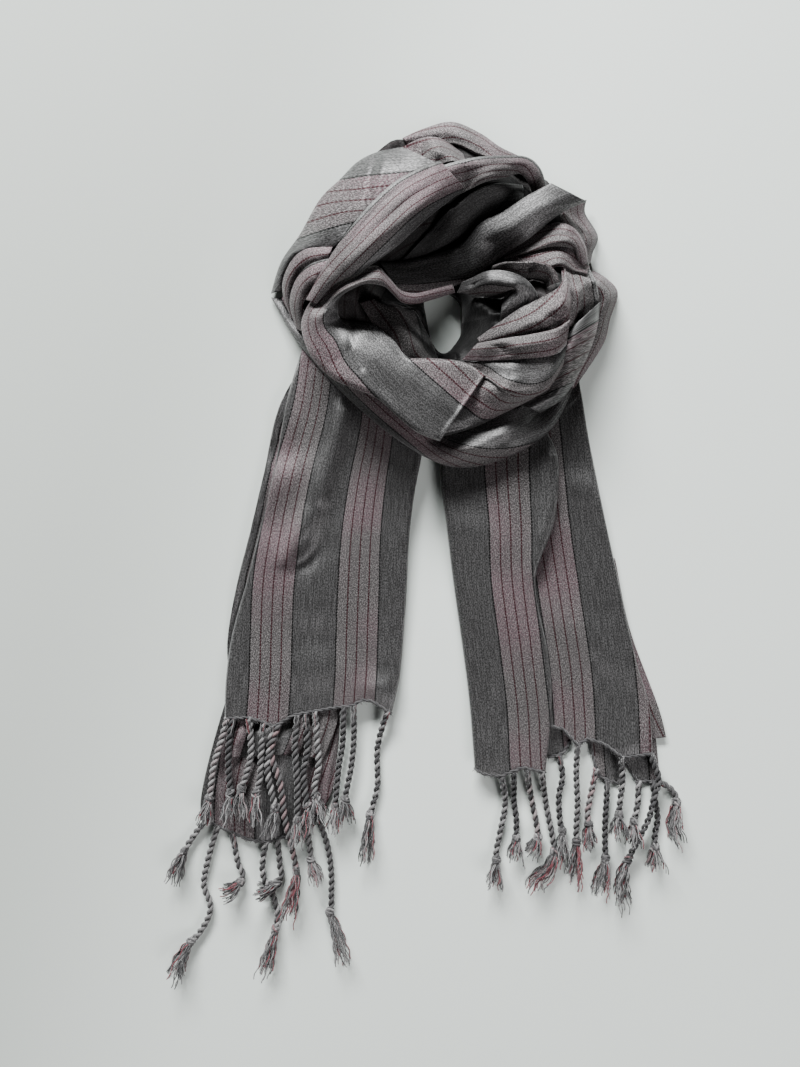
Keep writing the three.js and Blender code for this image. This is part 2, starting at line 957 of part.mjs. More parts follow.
// Enters a solid's triangles in the height map, then lets the ceiling reach a little to each side.
function coverWith(geometry) {
  const position = geometry.getAttribute("position");
  const index = geometry.index;
  const corner = [new THREE.Vector3(), new THREE.Vector3(), new THREE.Vector3()];
  for (let t = 0; t < index.count; t += 3) {
    corner.forEach((point, k) => point.fromBufferAttribute(position, index.getX(t + k)));
    const sides = corner.map((point, k) => point.distanceTo(corner[(k + 1) % 3]));
    const steps = Math.max(1, Math.ceil(Math.max(...sides) / CELL));
    for (let a = 0; a <= steps; a++) {
      for (let b = 0; b <= steps - a; b++) {
        const point = corner[0]
          .clone()
          .multiplyScalar(a / steps)
          .addScaledVector(corner[1], b / steps)
          .addScaledVector(corner[2], (steps - a - b) / steps);
        const [column, row] = cellOf(point.x, point.y);
        const cell = row * MAP_COLUMNS + column;
        lowest[cell] = Math.min(lowest[cell], point.z);
      }
    }
  }
  const reach = Math.round(REACH / CELL);
  for (let row = reach; row < MAP_ROWS - reach; row++) {
    for (let column = reach; column < MAP_COLUMNS - reach; column++) {
      let least = Infinity;
      for (let down = -reach; down <= reach; down++) {
        const span = Math.floor(Math.sqrt(reach * reach - down * down));
        for (let side = -span; side <= span; side++) {
          least = Math.min(least, lowest[(row + down) * MAP_COLUMNS + column + side]);
        }
      }
      ceiling[row * MAP_COLUMNS + column] = least;
    }
  }
}

// Lets the surface give way under what already lies over it.
function settle(grid) {
  const under = LAYER_GAP + WALL * SLOPE_ROOM;
  for (const line of grid) {
    for (const point of line) {
      point.z = Math.max(Math.min(point.z, ceilingAt(point.x, point.y) - under), WALL / 2);
    }
  }
}

// Closed geometry between two grids of points that share their layout.
function closedBetween(top, bottom) {
  const sections = top.length;
  const across = top[0].length;
  const points = [...top.flat(), ...bottom.flat()];
  const shift = sections * across;
  const index = [];
  const quad = (a, b, c, d) => index.push(a, b, c, a, c, d);
  for (let i = 0; i < sections - 1; i++) {
    for (let j = 0; j < across - 1; j++) {
      const a = i * across + j;
      const b = a + across;
      quad(a, b, b + 1, a + 1);
      quad(shift + a, shift + a + 1, shift + b + 1, shift + b);
    }
  }
  for (let j = 0; j < across - 1; j++) {
    const a = j;
    const b = (sections - 1) * across + j;
    quad(a, a + 1, shift + a + 1, shift + a);
    quad(b + 1, b, shift + b, shift + b + 1);
  }
  for (let i = 0; i < sections - 1; i++) {
    const a = i * across;
    const b = a + across - 1;
    quad(a + across, a, shift + a, shift + a + across);
    quad(b, b + across, shift + b + across, shift + b);
  }
  return facingOut(points, index);
}

function facingOut(points, index) {
  let volume = 0;
  for (let t = 0; t < index.length; t += 3) {
    const [a, b, c] = [points[index[t]], points[index[t + 1]], points[index[t + 2]]];
    volume += a.dot(b.clone().cross(c));
  }
  if (volume < 0) {
    for (let t = 0; t < index.length; t += 3) [index[t + 1], index[t + 2]] = [index[t + 2], index[t + 1]];
  }
  const geometry = new THREE.BufferGeometry().setFromPoints(points);
  geometry.setIndex(index);
  return geometry;
}

// A wall of cloth on both sides of its middle surface.
function wallFrom(grid, flatUnder) {
  const top = [];
  const bottom = [];
  for (let i = 0; i < grid.length; i++) {
    top.push([]);
    bottom.push([]);
    for (let j = 0; j < grid[i].length; j++) {
      const along = grid[Math.min(i + 1, grid.length - 1)][j].clone().sub(grid[Math.max(i - 1, 0)][j]);
      const over = grid[i][Math.min(j + 1, grid[i].length - 1)].clone().sub(grid[i][Math.max(j - 1, 0)]);
      const normal = flatUnder ? new THREE.Vector3(0, 0, 1) : along.cross(over).normalize();
      top[i].push(grid[i][j].clone().addScaledVector(normal, WALL / 2));
      bottom[i].push(grid[i][j].clone().addScaledVector(normal, -WALL / 2));
    }
  }
  return closedBetween(top, bottom);
}

// Room for the heap at a place, above its least thickness.
function roomAt(x, y) {
  return ceilingAt(x, y) - SEAM_GAP - LAYER_GAP - HEAP_LEAST;
}

// The heap of hidden layers: as high as its own dome or the cloth over it allows.
function heapSolid() {
  const rings = [];
  for (let i = 0; i < HEAP_TURNS; i++) {
    const angle = (360 * i) / HEAP_TURNS;
    const row = rowAt(HEAP, angle / HEAP_STEP);
    const turn = THREE.MathUtils.degToRad(angle);
    const at = (radius) => [HEAP_X + radius * Math.cos(turn), HEAP_Y + radius * Math.sin(turn)];
    let outer = row.outer;
    while (outer > row.inner + HEAP_NARROWEST && roomAt(...at(outer)) < 0) outer -= CELL;
    let inner = row.inner;
    while (inner < outer - HEAP_NARROWEST && roomAt(...at(inner)) < 0) inner += CELL;
    const ring = [];
    for (let j = 0; j <= HEAP_RINGS; j++) {
      const share = j / HEAP_RINGS;
      const radius = inner + share * (outer - inner);
      const [x, y] = at(radius);
      const dome = row.height * Math.sin(Math.PI * (DOME_START + DOME_SPAN * share)) ** DOME_FULLNESS;
      const around = (Math.PI * radius) / HEAP_TURNS;
      const outward = (outer - inner) / HEAP_RINGS / 2;
      let over = Infinity;
      for (const aside of [-around, 0, around]) {
        for (const out of [-outward, 0, outward]) {
          const [nearX, nearY] = at(radius + out);
          over = Math.min(over, ceilingAt(nearX - aside * Math.sin(turn), nearY + aside * Math.cos(turn)));
        }
      }
      const z = Math.max(Math.min(dome, over - LAYER_GAP), HEAP_LEAST);
      ring.push(new THREE.Vector3(x, y, z));
    }
    rings.push(ring);
  }
  const points = rings.flatMap((ring) => [...ring, ...ring.map((point) => point.clone().setZ(0))]);
  const size = 2 * (HEAP_RINGS + 1);
  const index = [];
  const quad = (a, b, c, d) => index.push(a, b, c, a, c, d);
  for (let i = 0; i < HEAP_TURNS; i++) {
    const a = i * size;
    const b = ((i + 1) % HEAP_TURNS) * size;
    for (let j = 0; j < HEAP_RINGS; j++) {
      quad(a + j, a + j + 1, b + j + 1, b + j);
      const low = HEAP_RINGS + 1 + j;
      quad(a + low + 1, a + low, b + low, b + low + 1);
    }
    quad(a, b, b + HEAP_RINGS + 1, a + HEAP_RINGS + 1);
    quad(b + HEAP_RINGS, a + HEAP_RINGS, a + size - 1, b + size - 1);
  }
  return facingOut(points, index);
}

// A flat stack of hidden layers: each side shows a rounded edge for each layer.
function stackSolid(stack) {
  const rows = table(SECTION, stack.rows);
  const sections = (rows.length - 1) * STEPS_ALONG;
  const points = [];
  let size = 0;
  for (let i = 0; i <= sections; i++) {
    const row = rowAt(rows, i / STEPS_ALONG);
    const side = (x, y, z, out) => {
      const layer = z / STACK_LAYERS;
      const edge = [];
      for (let k = 0; k < STACK_LAYERS; k++) {
        const bulge = out * layer * (k % 2 === 0 ? 1 : INNER_LAYER_BULGE);
        edge.push([x, y, k * layer], [x + bulge, y, (k + 0.5) * layer]);
      }
      edge.push([x, y, z]);
      return edge;
    };
    const left = side(row.outerX, row.outerY, row.outerZ, -1);
    const right = side(row.innerX, row.innerY, row.innerZ, 1).reverse();
    const middle = [
      (row.outerX + row.innerX) / 2,
      (row.outerY + row.innerY) / 2,
      (row.outerZ + row.innerZ) / 2,
    ];
    const section = [...left, middle, ...right].map(([x, y, z]) => {
      const point = placed(x, y, z);
      point.z = Math.min(point.z, ceilingAt(point.x, point.y) - LAYER_GAP);
      return point;
    });
    size = section.length;
    points.push(...section);
  }
  const index = [];
  const quad = (a, b, c, d) => index.push(a, b, c, a, c, d);
  for (let i = 0; i < sections; i++) {
    for (let j = 0; j < size; j++) {
      const a = i * size;
      quad(a + j, a + ((j + 1) % size), a + size + ((j + 1) % size), a + size + j);
    }
  }
  const last = sections * size;
  const half = (size - 1) / 2;
  for (let k = 0; k < half - 1; k++) {
    const far = size - 1 - k;
    quad(k, far, far - 1, k + 1);
    quad(last + k + 1, last + far - 1, last + far, last + k);
  }
  index.push(half - 1, half + 1, half, last + half, last + half + 1, last + half - 1);
  return facingOut(points, index);
}

// A cord, its knot and its tuft: square sections along its own curve.
function cordSolid(cord, hemLine) {
  const points = [rootAt(hemLine, cord.rootX), ...cord.points.map(([x, y, z]) => placed(x, y, z))];
  const curve = new THREE.CatmullRomCurve3(points, false, "centripetal");
  const sections = points.length - 1;
  const corners = [];
  for (let i = 0; i <= sections; i++) {
    const centre = points[i].clone();
    const direction = curve.getTangent(i / sections).setZ(0).normalize();
    const side = new THREE.Vector3(-direction.y, direction.x, 0);
    let radius = CORD_RADIUS;
    if (i === cord.knot) radius = KNOT_RADIUS;
    if (i > cord.knot) radius = TUFT_RADIUS;
    if (i === sections) radius = CORD_RADIUS;
    centre.z = Math.max(centre.z, radius + FLOOR_GAP);
    corners.push(
      centre.clone().addScaledVector(side, radius),
      centre.clone().setZ(centre.z + radius),
      centre.clone().addScaledVector(side, -radius),
      centre.clone().setZ(centre.z - radius),
    );
  }
  const index = [];
  const quad = (a, b, c, d) => index.push(a, b, c, a, c, d);
  for (let i = 0; i < sections; i++) {
    for (let j = 0; j < 4; j++) {
      const a = 4 * i;
      quad(a + j, a + ((j + 1) % 4), a + 4 + ((j + 1) % 4), a + 4 + j);
    }
  }
  const end = 4 * sections;
  index.push(0, 2, 1, 0, 3, 2, end, end + 1, end + 2, end, end + 2, end + 3);
  return facingOut(corners, index);
}

// The strip of roots that runs along a hem, just clear of it: the hem's own points, moved out.
function stripSolid(hemLine) {
  const edges = [SEAM_GAP, SEAM_GAP + STRIP_WIDTH];
  const raised = (point, rise) => edges.map((off) => new THREE.Vector3(point.x, point.y - off, point.z + rise));
  const level = (rise) => hemLine.map((point) => raised(point, rise));
  return closedBetween(level(STRIP_HEIGHT / 2), level(-STRIP_HEIGHT / 2));
}

// The middle of the strip at a plan x: where a cord is rooted.
function rootAt(hemLine, x) {
  const next = Math.max(1, hemLine.findIndex((point) => point.x > x));
  const [from, to] = [hemLine[next - 1], hemLine[next]];
  const root = from.clone().lerp(to, (x - from.x) / (to.x - from.x));
  root.y -= SEAM_GAP + STRIP_WIDTH / 2;
  return root;
}

function solidOf(geometry) {
  const bare = new THREE.BufferGeometry().setAttribute("position", geometry.getAttribute("position"));
  bare.setIndex(geometry.index);
  const merged = mergeVertices(bare, MERGE_DISTANCE);
  return new wasm.Manifold(
    new wasm.Mesh({
      numProp: 3,
      vertProperties: new Float32Array(merged.getAttribute("position").array),
      triVerts: new Uint32Array(merged.index.array),
    }),
  );
}

function geometryOf(solid) {
  const mesh = solid.getMesh();
  const geometry = new THREE.BufferGeometry();
  geometry.setAttribute("position", new THREE.BufferAttribute(new Float32Array(mesh.vertProperties), 3));
  geometry.setIndex(new THREE.BufferAttribute(new Uint32Array(mesh.triVerts), 1));
  return geometry;
}

function fringeSolid(fringe, hemLine) {
  let joined = solidOf(stripSolid(hemLine));
  for (const cord of fringe.cords) joined = joined.add(solidOf(cordSolid(cord, hemLine)));
  return joined;
}

// A lower layer without what it shares with the layers over it.
function trimmed(solid, above) {
  let left = solid;
  for (const upper of above) {
    if (left.intersect(upper).volume() > SMALLEST_OVERLAP) {
      for (const move of TRIM_MOVES) left = left.subtract(upper.translate(move));
    }
  }
  return left.decompose().sort((a, b) => b.volume() - a.volume())[0];
}

const scarf = new THREE.Group();
scarf.position.set(-CENTRE_X, -CENTRE_Y, 0);

const placedSolids = [];

function addPiece(name, solid, material) {
  const clear = trimmed(solid, placedSolids);
  placedSolids.push(clear);
  const mesh = new THREE.Mesh(geometryOf(clear), material);
  mesh.name = name;
  mesh.geometry.computeVertexNormals();
  scarf.add(mesh);
}

const hemLines = {};
for (const piece of [...STRETCHES, ...PANELS]) {
  const grid = middleSurface(piece);
  settle(grid);
  const wall = wallFrom(grid, piece.name.endsWith("back"));
  coverWith(wall);
  hemLines[piece.name] = grid.at(-1);
  addPiece(piece.name, solidOf(wall), SATIN);
}
for (const fringe of FRINGES) addPiece(fringe.name, fringeSolid(fringe, hemLines[fringe.hem]), YARN);
for (const stack of STACKS) addPiece(stack.name, solidOf(stackSolid(stack)), SHADED);
addPiece("ring_layers", solidOf(heapSolid()), SHADED);

const part = new THREE.Group();
part.add(scarf);

export default part;
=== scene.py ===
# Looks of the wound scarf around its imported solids. Metres, +Z up, +Y from the fringe to the ring.
# Tables like those of the solids' source, changed in places, give each stretch its form. Here the
# cloth is thin, finely sampled and creased, and node trees make the cords, tufts and hem threads.
import math

import bpy
import numpy as np
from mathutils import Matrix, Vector


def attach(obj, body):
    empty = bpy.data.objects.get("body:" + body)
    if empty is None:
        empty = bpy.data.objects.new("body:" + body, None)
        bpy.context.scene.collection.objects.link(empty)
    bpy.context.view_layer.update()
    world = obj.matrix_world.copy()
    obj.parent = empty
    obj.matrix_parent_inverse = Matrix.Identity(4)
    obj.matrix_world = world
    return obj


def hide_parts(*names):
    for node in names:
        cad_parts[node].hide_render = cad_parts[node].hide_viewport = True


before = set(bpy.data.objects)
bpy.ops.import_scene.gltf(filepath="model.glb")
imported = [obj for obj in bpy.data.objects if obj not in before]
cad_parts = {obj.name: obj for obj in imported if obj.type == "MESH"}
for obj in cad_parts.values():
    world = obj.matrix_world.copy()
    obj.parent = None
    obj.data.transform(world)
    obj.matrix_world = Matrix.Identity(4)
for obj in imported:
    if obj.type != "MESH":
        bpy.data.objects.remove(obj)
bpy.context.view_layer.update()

MM = 0.001
SIGHT_HEIGHT = 650.0  # the photo was taken from this height, mm
CENTRE = (20.9, -13.9)  # the point of the plan that is the part's origin, mm
PIXEL = 0.8  # mm of the plan to a pixel of the photo
PHOTO_SIZE = (800, 1067)  # pixels, the middle one is straight below the camera

THICKNESS = 0.7  # shown thickness of the cloth, mm
LAYER_GAP = 1.0  # between the middles of two layers, mm
REACH_SLOPE = 0.75  # how steeply a pressed layer rises beside the one over it
REACH_STEPS = 9  # cells that a layer's reach goes out to
PRESS_STEPS = 60  # how far the push of a layer above is eased out
FLOOR_ROOM = 0.6  # least height of the middle of a cloth, mm
HEAP_ROOM = 0.8  # least height of the hidden layers' top, mm
CORD_ROOM = 2.6  # least height of a cord's middle, mm
KNOT_ROOM = 4.2  # least height of a knot's middle, mm
HEM_ROOM = 1.5  # least height of a hem roll's middle, mm
CELL = 1.5  # cells of the height map, mm
ALONG = 14  # sections between two rows of a stretch
ACROSS = 56  # points to a section
LINE_STEPS = 12  # steps between two points of a cord

# Stretches of the ring, the uppermost first. A row's columns are x, y, z of the outer edge, x, y, z of
# the inner edge, the crown between them, and the lengths across the cloth at the outer and the inner
# edge. A turn is the radius of a folded edge. All are in mm, with x and y in the photo's plan.
STRETCHES = [
    {"name": "upper_band", "turnOuter": 5, "turnInner": 5, "rows": [
        [-75, 187, 44, -67, 184, 46, 2, -6, 4],
        [-59, 216, 52, -53, 199, 56, 4, -12, 10],
        [-43, 240, 56, -30, 211, 58, 7, -18, 20],
        [-24, 263, 56, -4, 229, 56, 9, -20, 26],
        [-4, 281, 55, 20, 251, 54, 10, -20, 26],
        [16, 292, 52, 40, 267, 50, 9, -20, 22],
        [32, 298, 47, 52, 276, 45, 7, -20, 18],
    ]},
    {"name": "front_inner_band", "turnOuter": 5, "turnInner": 4, "rows": [
        [32, 74, 42, 68, 127, 43, 2, -46, 10],
        [14, 81, 45, 50, 137, 42, 2, -49, 5],
        [0, 92, 46, 26, 140, 41, 3, -50, -6],
        [-18, 108, 46, 6, 141, 42, 4, -52, -17],
        [-36, 116, 44, -6, 155, 40, 6, -58, -20],
        [-54, 124, 41, -22, 167, 36, 8, -66, -22],
        [-69, 139, 37, -38, 169, 32, 11, -75, -32],
        [-77, 156, 34, -48, 172, 32, 13, -76, -34],
        [-78, 172, 34, -50, 180, 42, 12, -76, -36],
        [-70, 187, 42, -48, 189, 50, 8, -76, -44],
        [-56, 197, 50, -38, 196, 55, 5, -76, -48],
        [-38, 208, 54, -26, 200, 57, 3, -74, -52],
        [-20, 214, 54, -13, 198, 56, 3, -74, -54],
        [-10, 206, 52, -6, 192, 52, 3, -74, -56],
        [0, 195, 48, 2, 185, 46, 2, -74, -58],
        [12, 192, 44, 13, 184, 42, 2, -74, -60],
        [26, 195, 38, 28, 188, 36, 1, -74, -62],
        [42, 199, 30, 44, 193, 28, 1, -74, -64],
    ]},
    {"name": "right_inner_band", "turnOuter": 3, "turnInner": 3, "rows": [
        [50, 140, 44, 62, 152, 42, 1, -13, 8],
        [72, 140, 52, 84, 156, 54, 3, -13, 8],
        [96, 140, 54, 104, 159, 58, 3, -13, 8],
        [122, 143, 54, 125, 164, 60, 2, -13, 8],
        [133, 152, 50, 136, 171, 58, 1, -13, 8],
    ]},
    {"name": "front_upper_face", "turnOuter": 4, "turnInner": 2, "rows": [
        [50, 134, 52, 53, 141, 46, 1, 6, 16],
        [70, 127, 53, 72, 145, 46, 3, 6, 28],
        [84, 114, 50, 92, 147, 48, 5, 6, 42],
        [102, 110, 47, 110, 147, 48, 6, 7, 44],
        [118, 116, 44, 125, 148, 48, 5, 7, 42],
        [130, 134, 42, 134, 155, 46, 2, 7, 34],
    ]},
    {"name": "front_right_side", "turnOuter": 4, "turnInner": 2, "rows": [
        [28, 77, 28, 66, 130, 44, 0, -46, 10],
        [56, 84, 30, 78, 122, 46, 2, -25, 8],
        [80, 95, 30, 94, 114, 44, 2, -14, 14],
        [104, 107, 30, 107, 113, 40, 1, -4, 14],
        [120, 116, 28, 118, 121, 38, 1, 6, 16],
    ]},
    {"name": "right_inner_fold", "turnOuter": 2, "turnInner": 4, "rows": [
        [64, 152, 38, 62, 156, 36, 1, 0, 4],
        [88, 156, 50, 80, 169, 44, 4, -3, 11],
        [108, 159, 54, 96, 180, 48, 6, -6, 15],
        [124, 164, 55, 112, 188, 50, 7, -9, 13],
        [134, 172, 54, 128, 198, 51, 6, -9, 9],
        [137, 187, 50, 132, 212, 48, 4, -10, 9],
    ]},
    {"name": "curl_large", "turnOuter": 1, "turnInner": 0, "ripple": 0.2, "rows": [
        [50, 203, 38, 46, 194, 30, 2, 28, 14],
        [70, 210, 46, 64, 190, 26, 10, 32, 4],
        [88, 209, 48, 80, 189, 26, 14, 34, 2],
        [102, 202, 47, 86, 193, 30, 16, 34, 6],
        [110, 188, 46, 85, 194, 34, 16, 34, 12],
        [98, 178, 44, 84, 190, 36, 13, 34, 14],
        [80, 170, 38, 82, 184, 38, 6, 34, 18],
    ]},
    {"name": "curl_small", "turnOuter": 2, "turnInner": 0, "ripple": 0.2, "rows": [
        [74, 214, 20, 74, 210, 16, 1, 4, 12],
        [84, 217, 38, 85, 208, 26, 1, 3, 14],
        [96, 217, 50, 98, 205, 34, 2, 2, 16],
        [112, 217, 53, 108, 203, 36, 3, 0, 18],
        [123, 212, 53, 115, 201, 38, 3, 0, 18],
        [128, 202, 51, 117, 197, 40, 2, 0, 16],
    ]},
    {"name": "right_lower_band", "turnOuter": 5, "turnInner": 3, "rows": [
        [160, 185, 34, 140, 167, 44, 3, -26, -24],
        [158, 167, 30, 134, 156, 44, 6, -14, -17],
        [152, 147, 26, 130, 142, 42, 7, 0, -6],
        [142, 127, 22, 122, 126, 40, 6, 13, 6],
        [130, 108, 20, 110, 113, 36, 5, 26, 14],
        [112, 97, 20, 96, 104, 32, 3, 32, 22],
    ]},
    {"name": "throat_band", "turnOuter": 4, "turnInner": 4, "rows": [
        [121, 280, 42, 149, 266, 36, 4, 24, 44],
        [102, 270, 42, 128, 256, 38, 6, 24, 46],
        [82, 257, 36, 104, 237, 34, 6, 24, 48],
        [64, 248, 28, 84, 224, 26, 6, 24, 48],
        [50, 232, 20, 66, 211, 20, 5, 24, 48],
        [28, 223, 12, 48, 200, 14, 3, 26, 56],
        [0, 217, 9, 24, 193, 10, 2, 26, 62],
        [-16, 217, 9, 0, 193, 10, 1, 26, 62],
    ]},
    {"name": "upper_arm", "turnOuter": 4, "turnInner": 4, "rows": [
        [26, 292, 46, 46, 272, 44, 6, -20, 20],
        [56, 300, 49, 66, 281, 46, 5, -20, 14],
        [80, 302, 46, 84, 285, 42, 5, -20, 10],
        [101, 301, 40, 96, 288, 38, 4, -19, 2],
        [112, 292, 33, 103, 280, 31, 3, -18, -2],
        [117, 277, 24, 106, 270, 22, 2, -17, -6],
    ]},
    {"name": "right_upper_fold", "turnOuter": 3, "turnInner": 4, "rows": [
        [84, 229, 24, 84, 220, 22, 1, -6, 2],
        [104, 241, 32, 102, 225, 34, 3, -10, 8],
        [124, 249, 38, 122, 230, 40, 5, -14, 14],
        [139, 244, 38, 138, 228, 42, 5, -14, 12],
        [148, 230, 36, 142, 220, 40, 3, -12, 6],
        [150, 217, 32, 146, 214, 36, 2, -10, -2],
    ]},
    {"name": "right_middle_fold", "turnOuter": 3, "turnInner": 4, "rows": [
        [84, 224, 24, 84, 216, 26, 1, -6, 2],
        [104, 227, 38, 99, 208, 46, 3, -10, 6],
        [126, 232, 38, 126, 214, 44, 4, -14, 10],
        [142, 225, 38, 140, 211, 44, 4, -12, 6],
        [152, 214, 34, 150, 208, 38, 2, -8, 2],
    ]},
    {"name": "right_folds", "turnOuter": 4, "turnInner": 3, "rows": [
        [149, 226, 32, 126, 228, 38, 2, 20, -10],
        [154, 211, 38, 130, 214, 46, 2, 20, -10],
        [158, 199, 40, 131, 199, 50, 4, 20, -10],
        [161, 187, 40, 134, 183, 52, 5, 20, -10],
        [152, 172, 38, 137, 167, 50, 4, 18, -6],
    ]},
    {"name": "right_flap", "turnOuter": 4, "turnInner": 3, "rows": [
        [149, 267, 10, 128, 260, 34, 5, -18, 10],
        [148, 256, 8, 130, 249, 34, 6, -18, 14],
        [158, 238, 7, 139, 235, 34, 7, -18, 18],
        [154, 225, 11, 141, 222, 35, 6, -18, 14],
        [152, 216, 15, 138, 213, 34, 4, -14, 10],
    ]},
    {"name": "right_outer_band", "turnOuter": 4, "turnInner": 3, "rows": [
        [155, 210, 7, 145, 206, 26, 2, -6, 8],
        [166, 203, 8, 152, 197, 34, 5, -8, 16],
        [174, 192, 7, 156, 187, 34, 7, -10, 22],
        [168, 172, 7, 153, 169, 32, 6, -10, 18],
        [163, 153, 7, 147, 151, 28, 5, -8, 14],
        [150, 132, 7, 138, 132, 22, 3, -4, 8],
        [139, 116, 7, 126, 119, 18, 2, 0, 8],
    ]},
    {"name": "left_fold_inner", "turnOuter": 3, "turnInner": 2, "rows": [
        [-56, 220, 42, -62, 199, 46, 3, -18, 4],
        [-72, 215, 38, -69, 195, 44, 4, -18, 4],
        [-83, 203, 30, -77, 187, 40, 4, -16, 2],
        [-88, 185, 24, -78, 177, 34, 3, -14, 0],
        [-83, 164, 16, -77, 161, 26, 2, -12, 0],
    ]},
    {"name": "left_fold_outer", "turnOuter": 3, "turnInner": 2, "rows": [
        [-54, 229, 38, -59, 217, 40, 3, -16, 2],
        [-76, 227, 30, -70, 212, 36, 4, -16, 2],
        [-89, 214, 22, -82, 203, 30, 4, -14, 0],
        [-94, 195, 14, -87, 188, 24, 3, -12, -2],
        [-87, 172, 12, -80, 171, 20, 2, -10, 0],
    ]},
    {"name": "left_outer_face", "turnOuter": 4, "turnInner": 3, "rows": [
        [-103, 192, 6, -94, 195, 12, 2, 34, 38],
        [-95, 217, 7, -80, 227, 28, 4, 26, 34],
        [-80, 239, 7, -53, 230, 38, 8, 14, 30],
        [-64, 267, 7, -35, 249, 44, 10, -4, 17],
        [-48, 283, 7, -19, 264, 46, 10, -17, 3],
        [-34, 297, 8, -4, 278, 44, 9, -27, -8],
        [-18, 305, 9, 12, 289, 42, 8, -35, -16],
        [2, 309, 12, 30, 296, 40, 6, -40, -24],
    ]},
    {"name": "back_fold", "turnOuter": 3, "turnInner": 3, "rows": [
        [-2, 310, 14, 12, 296, 34, 3, -8, 8],
        [16, 316, 16, 28, 298, 42, 6, -10, 12],
        [32, 316, 18, 42, 298, 44, 6, -10, 14],
        [50, 304, 22, 54, 294, 44, 2, -8, 10],
    ]},
    {"name": "back_band", "turnOuter": 3, "turnInner": 3, "rows": [
        [2, 316, 7, 10, 311, 12, 2, -8, 2],
        [20, 324, 7, 26, 313, 16, 4, -10, 4],
        [42, 329, 7, 44, 312, 20, 6, -12, 6],
        [64, 320, 8, 62, 303, 24, 7, -12, 8],
        [80, 309, 9, 75, 299, 28, 4, -12, 2],
        [98, 300, 9, 90, 292, 26, 3, -10, 2],
        [113, 288, 9, 104, 282, 20, 2, -6, 2],
    ]},
    {"name": "throat_left_wall", "turnOuter": 2, "turnInner": 2, "rows": [
        [-33, 190, 52, -6, 190, 36, 2, -8, 16],
        [-22, 173, 52, 10, 180, 24, 3, -7, 17],
        [-11, 159, 54, 18, 167, 14, 4, -7, 19],
        [-1, 141, 55, 26, 151, 12, 4, -6, 24],
        [9, 134, 52, 30, 140, 14, 3, -6, 20],
    ]},
    {"name": "throat_back_wall", "turnOuter": 2, "turnInner": 2, "rows": [
        [100, 284, 36, 100, 268, 32, -2, 24, 50],
        [80, 281, 38, 80, 257, 28, -3, 24, 50],
        [62, 275, 40, 62, 248, 20, -3, 24, 50],
        [44, 264, 40, 44, 235, 12, -3, 24, 50],
        [20, 247, 42, 24, 225, 8, -3, 24, 50],
        [-4, 227, 44, 0, 217, 8, -2, 24, 50],
    ]},
    {"name": "front_outer_band", "turnOuter": 6, "turnInner": 2, "rows": [
        [-103, 189, 7, -92, 190, 9, 1, -22, -14],
        [-80, 151, 14, -58, 163, 26, 5, -24, 4],
        [-44, 111, 18, -24, 128, 33, 6, -24, 8],
        [0, 74, 19, 12, 100, 36, 7, -22, 16],
        [40, 54, 19, 42, 82, 37, 7, -12, 26],
        [80, 59, 19, 74, 94, 36, 7, 6, 48],
        [120, 83, 17, 104, 112, 32, 7, 20, 56],
        [142, 123, 11, 122, 140, 26, 6, 26, 50],
    ]},
]

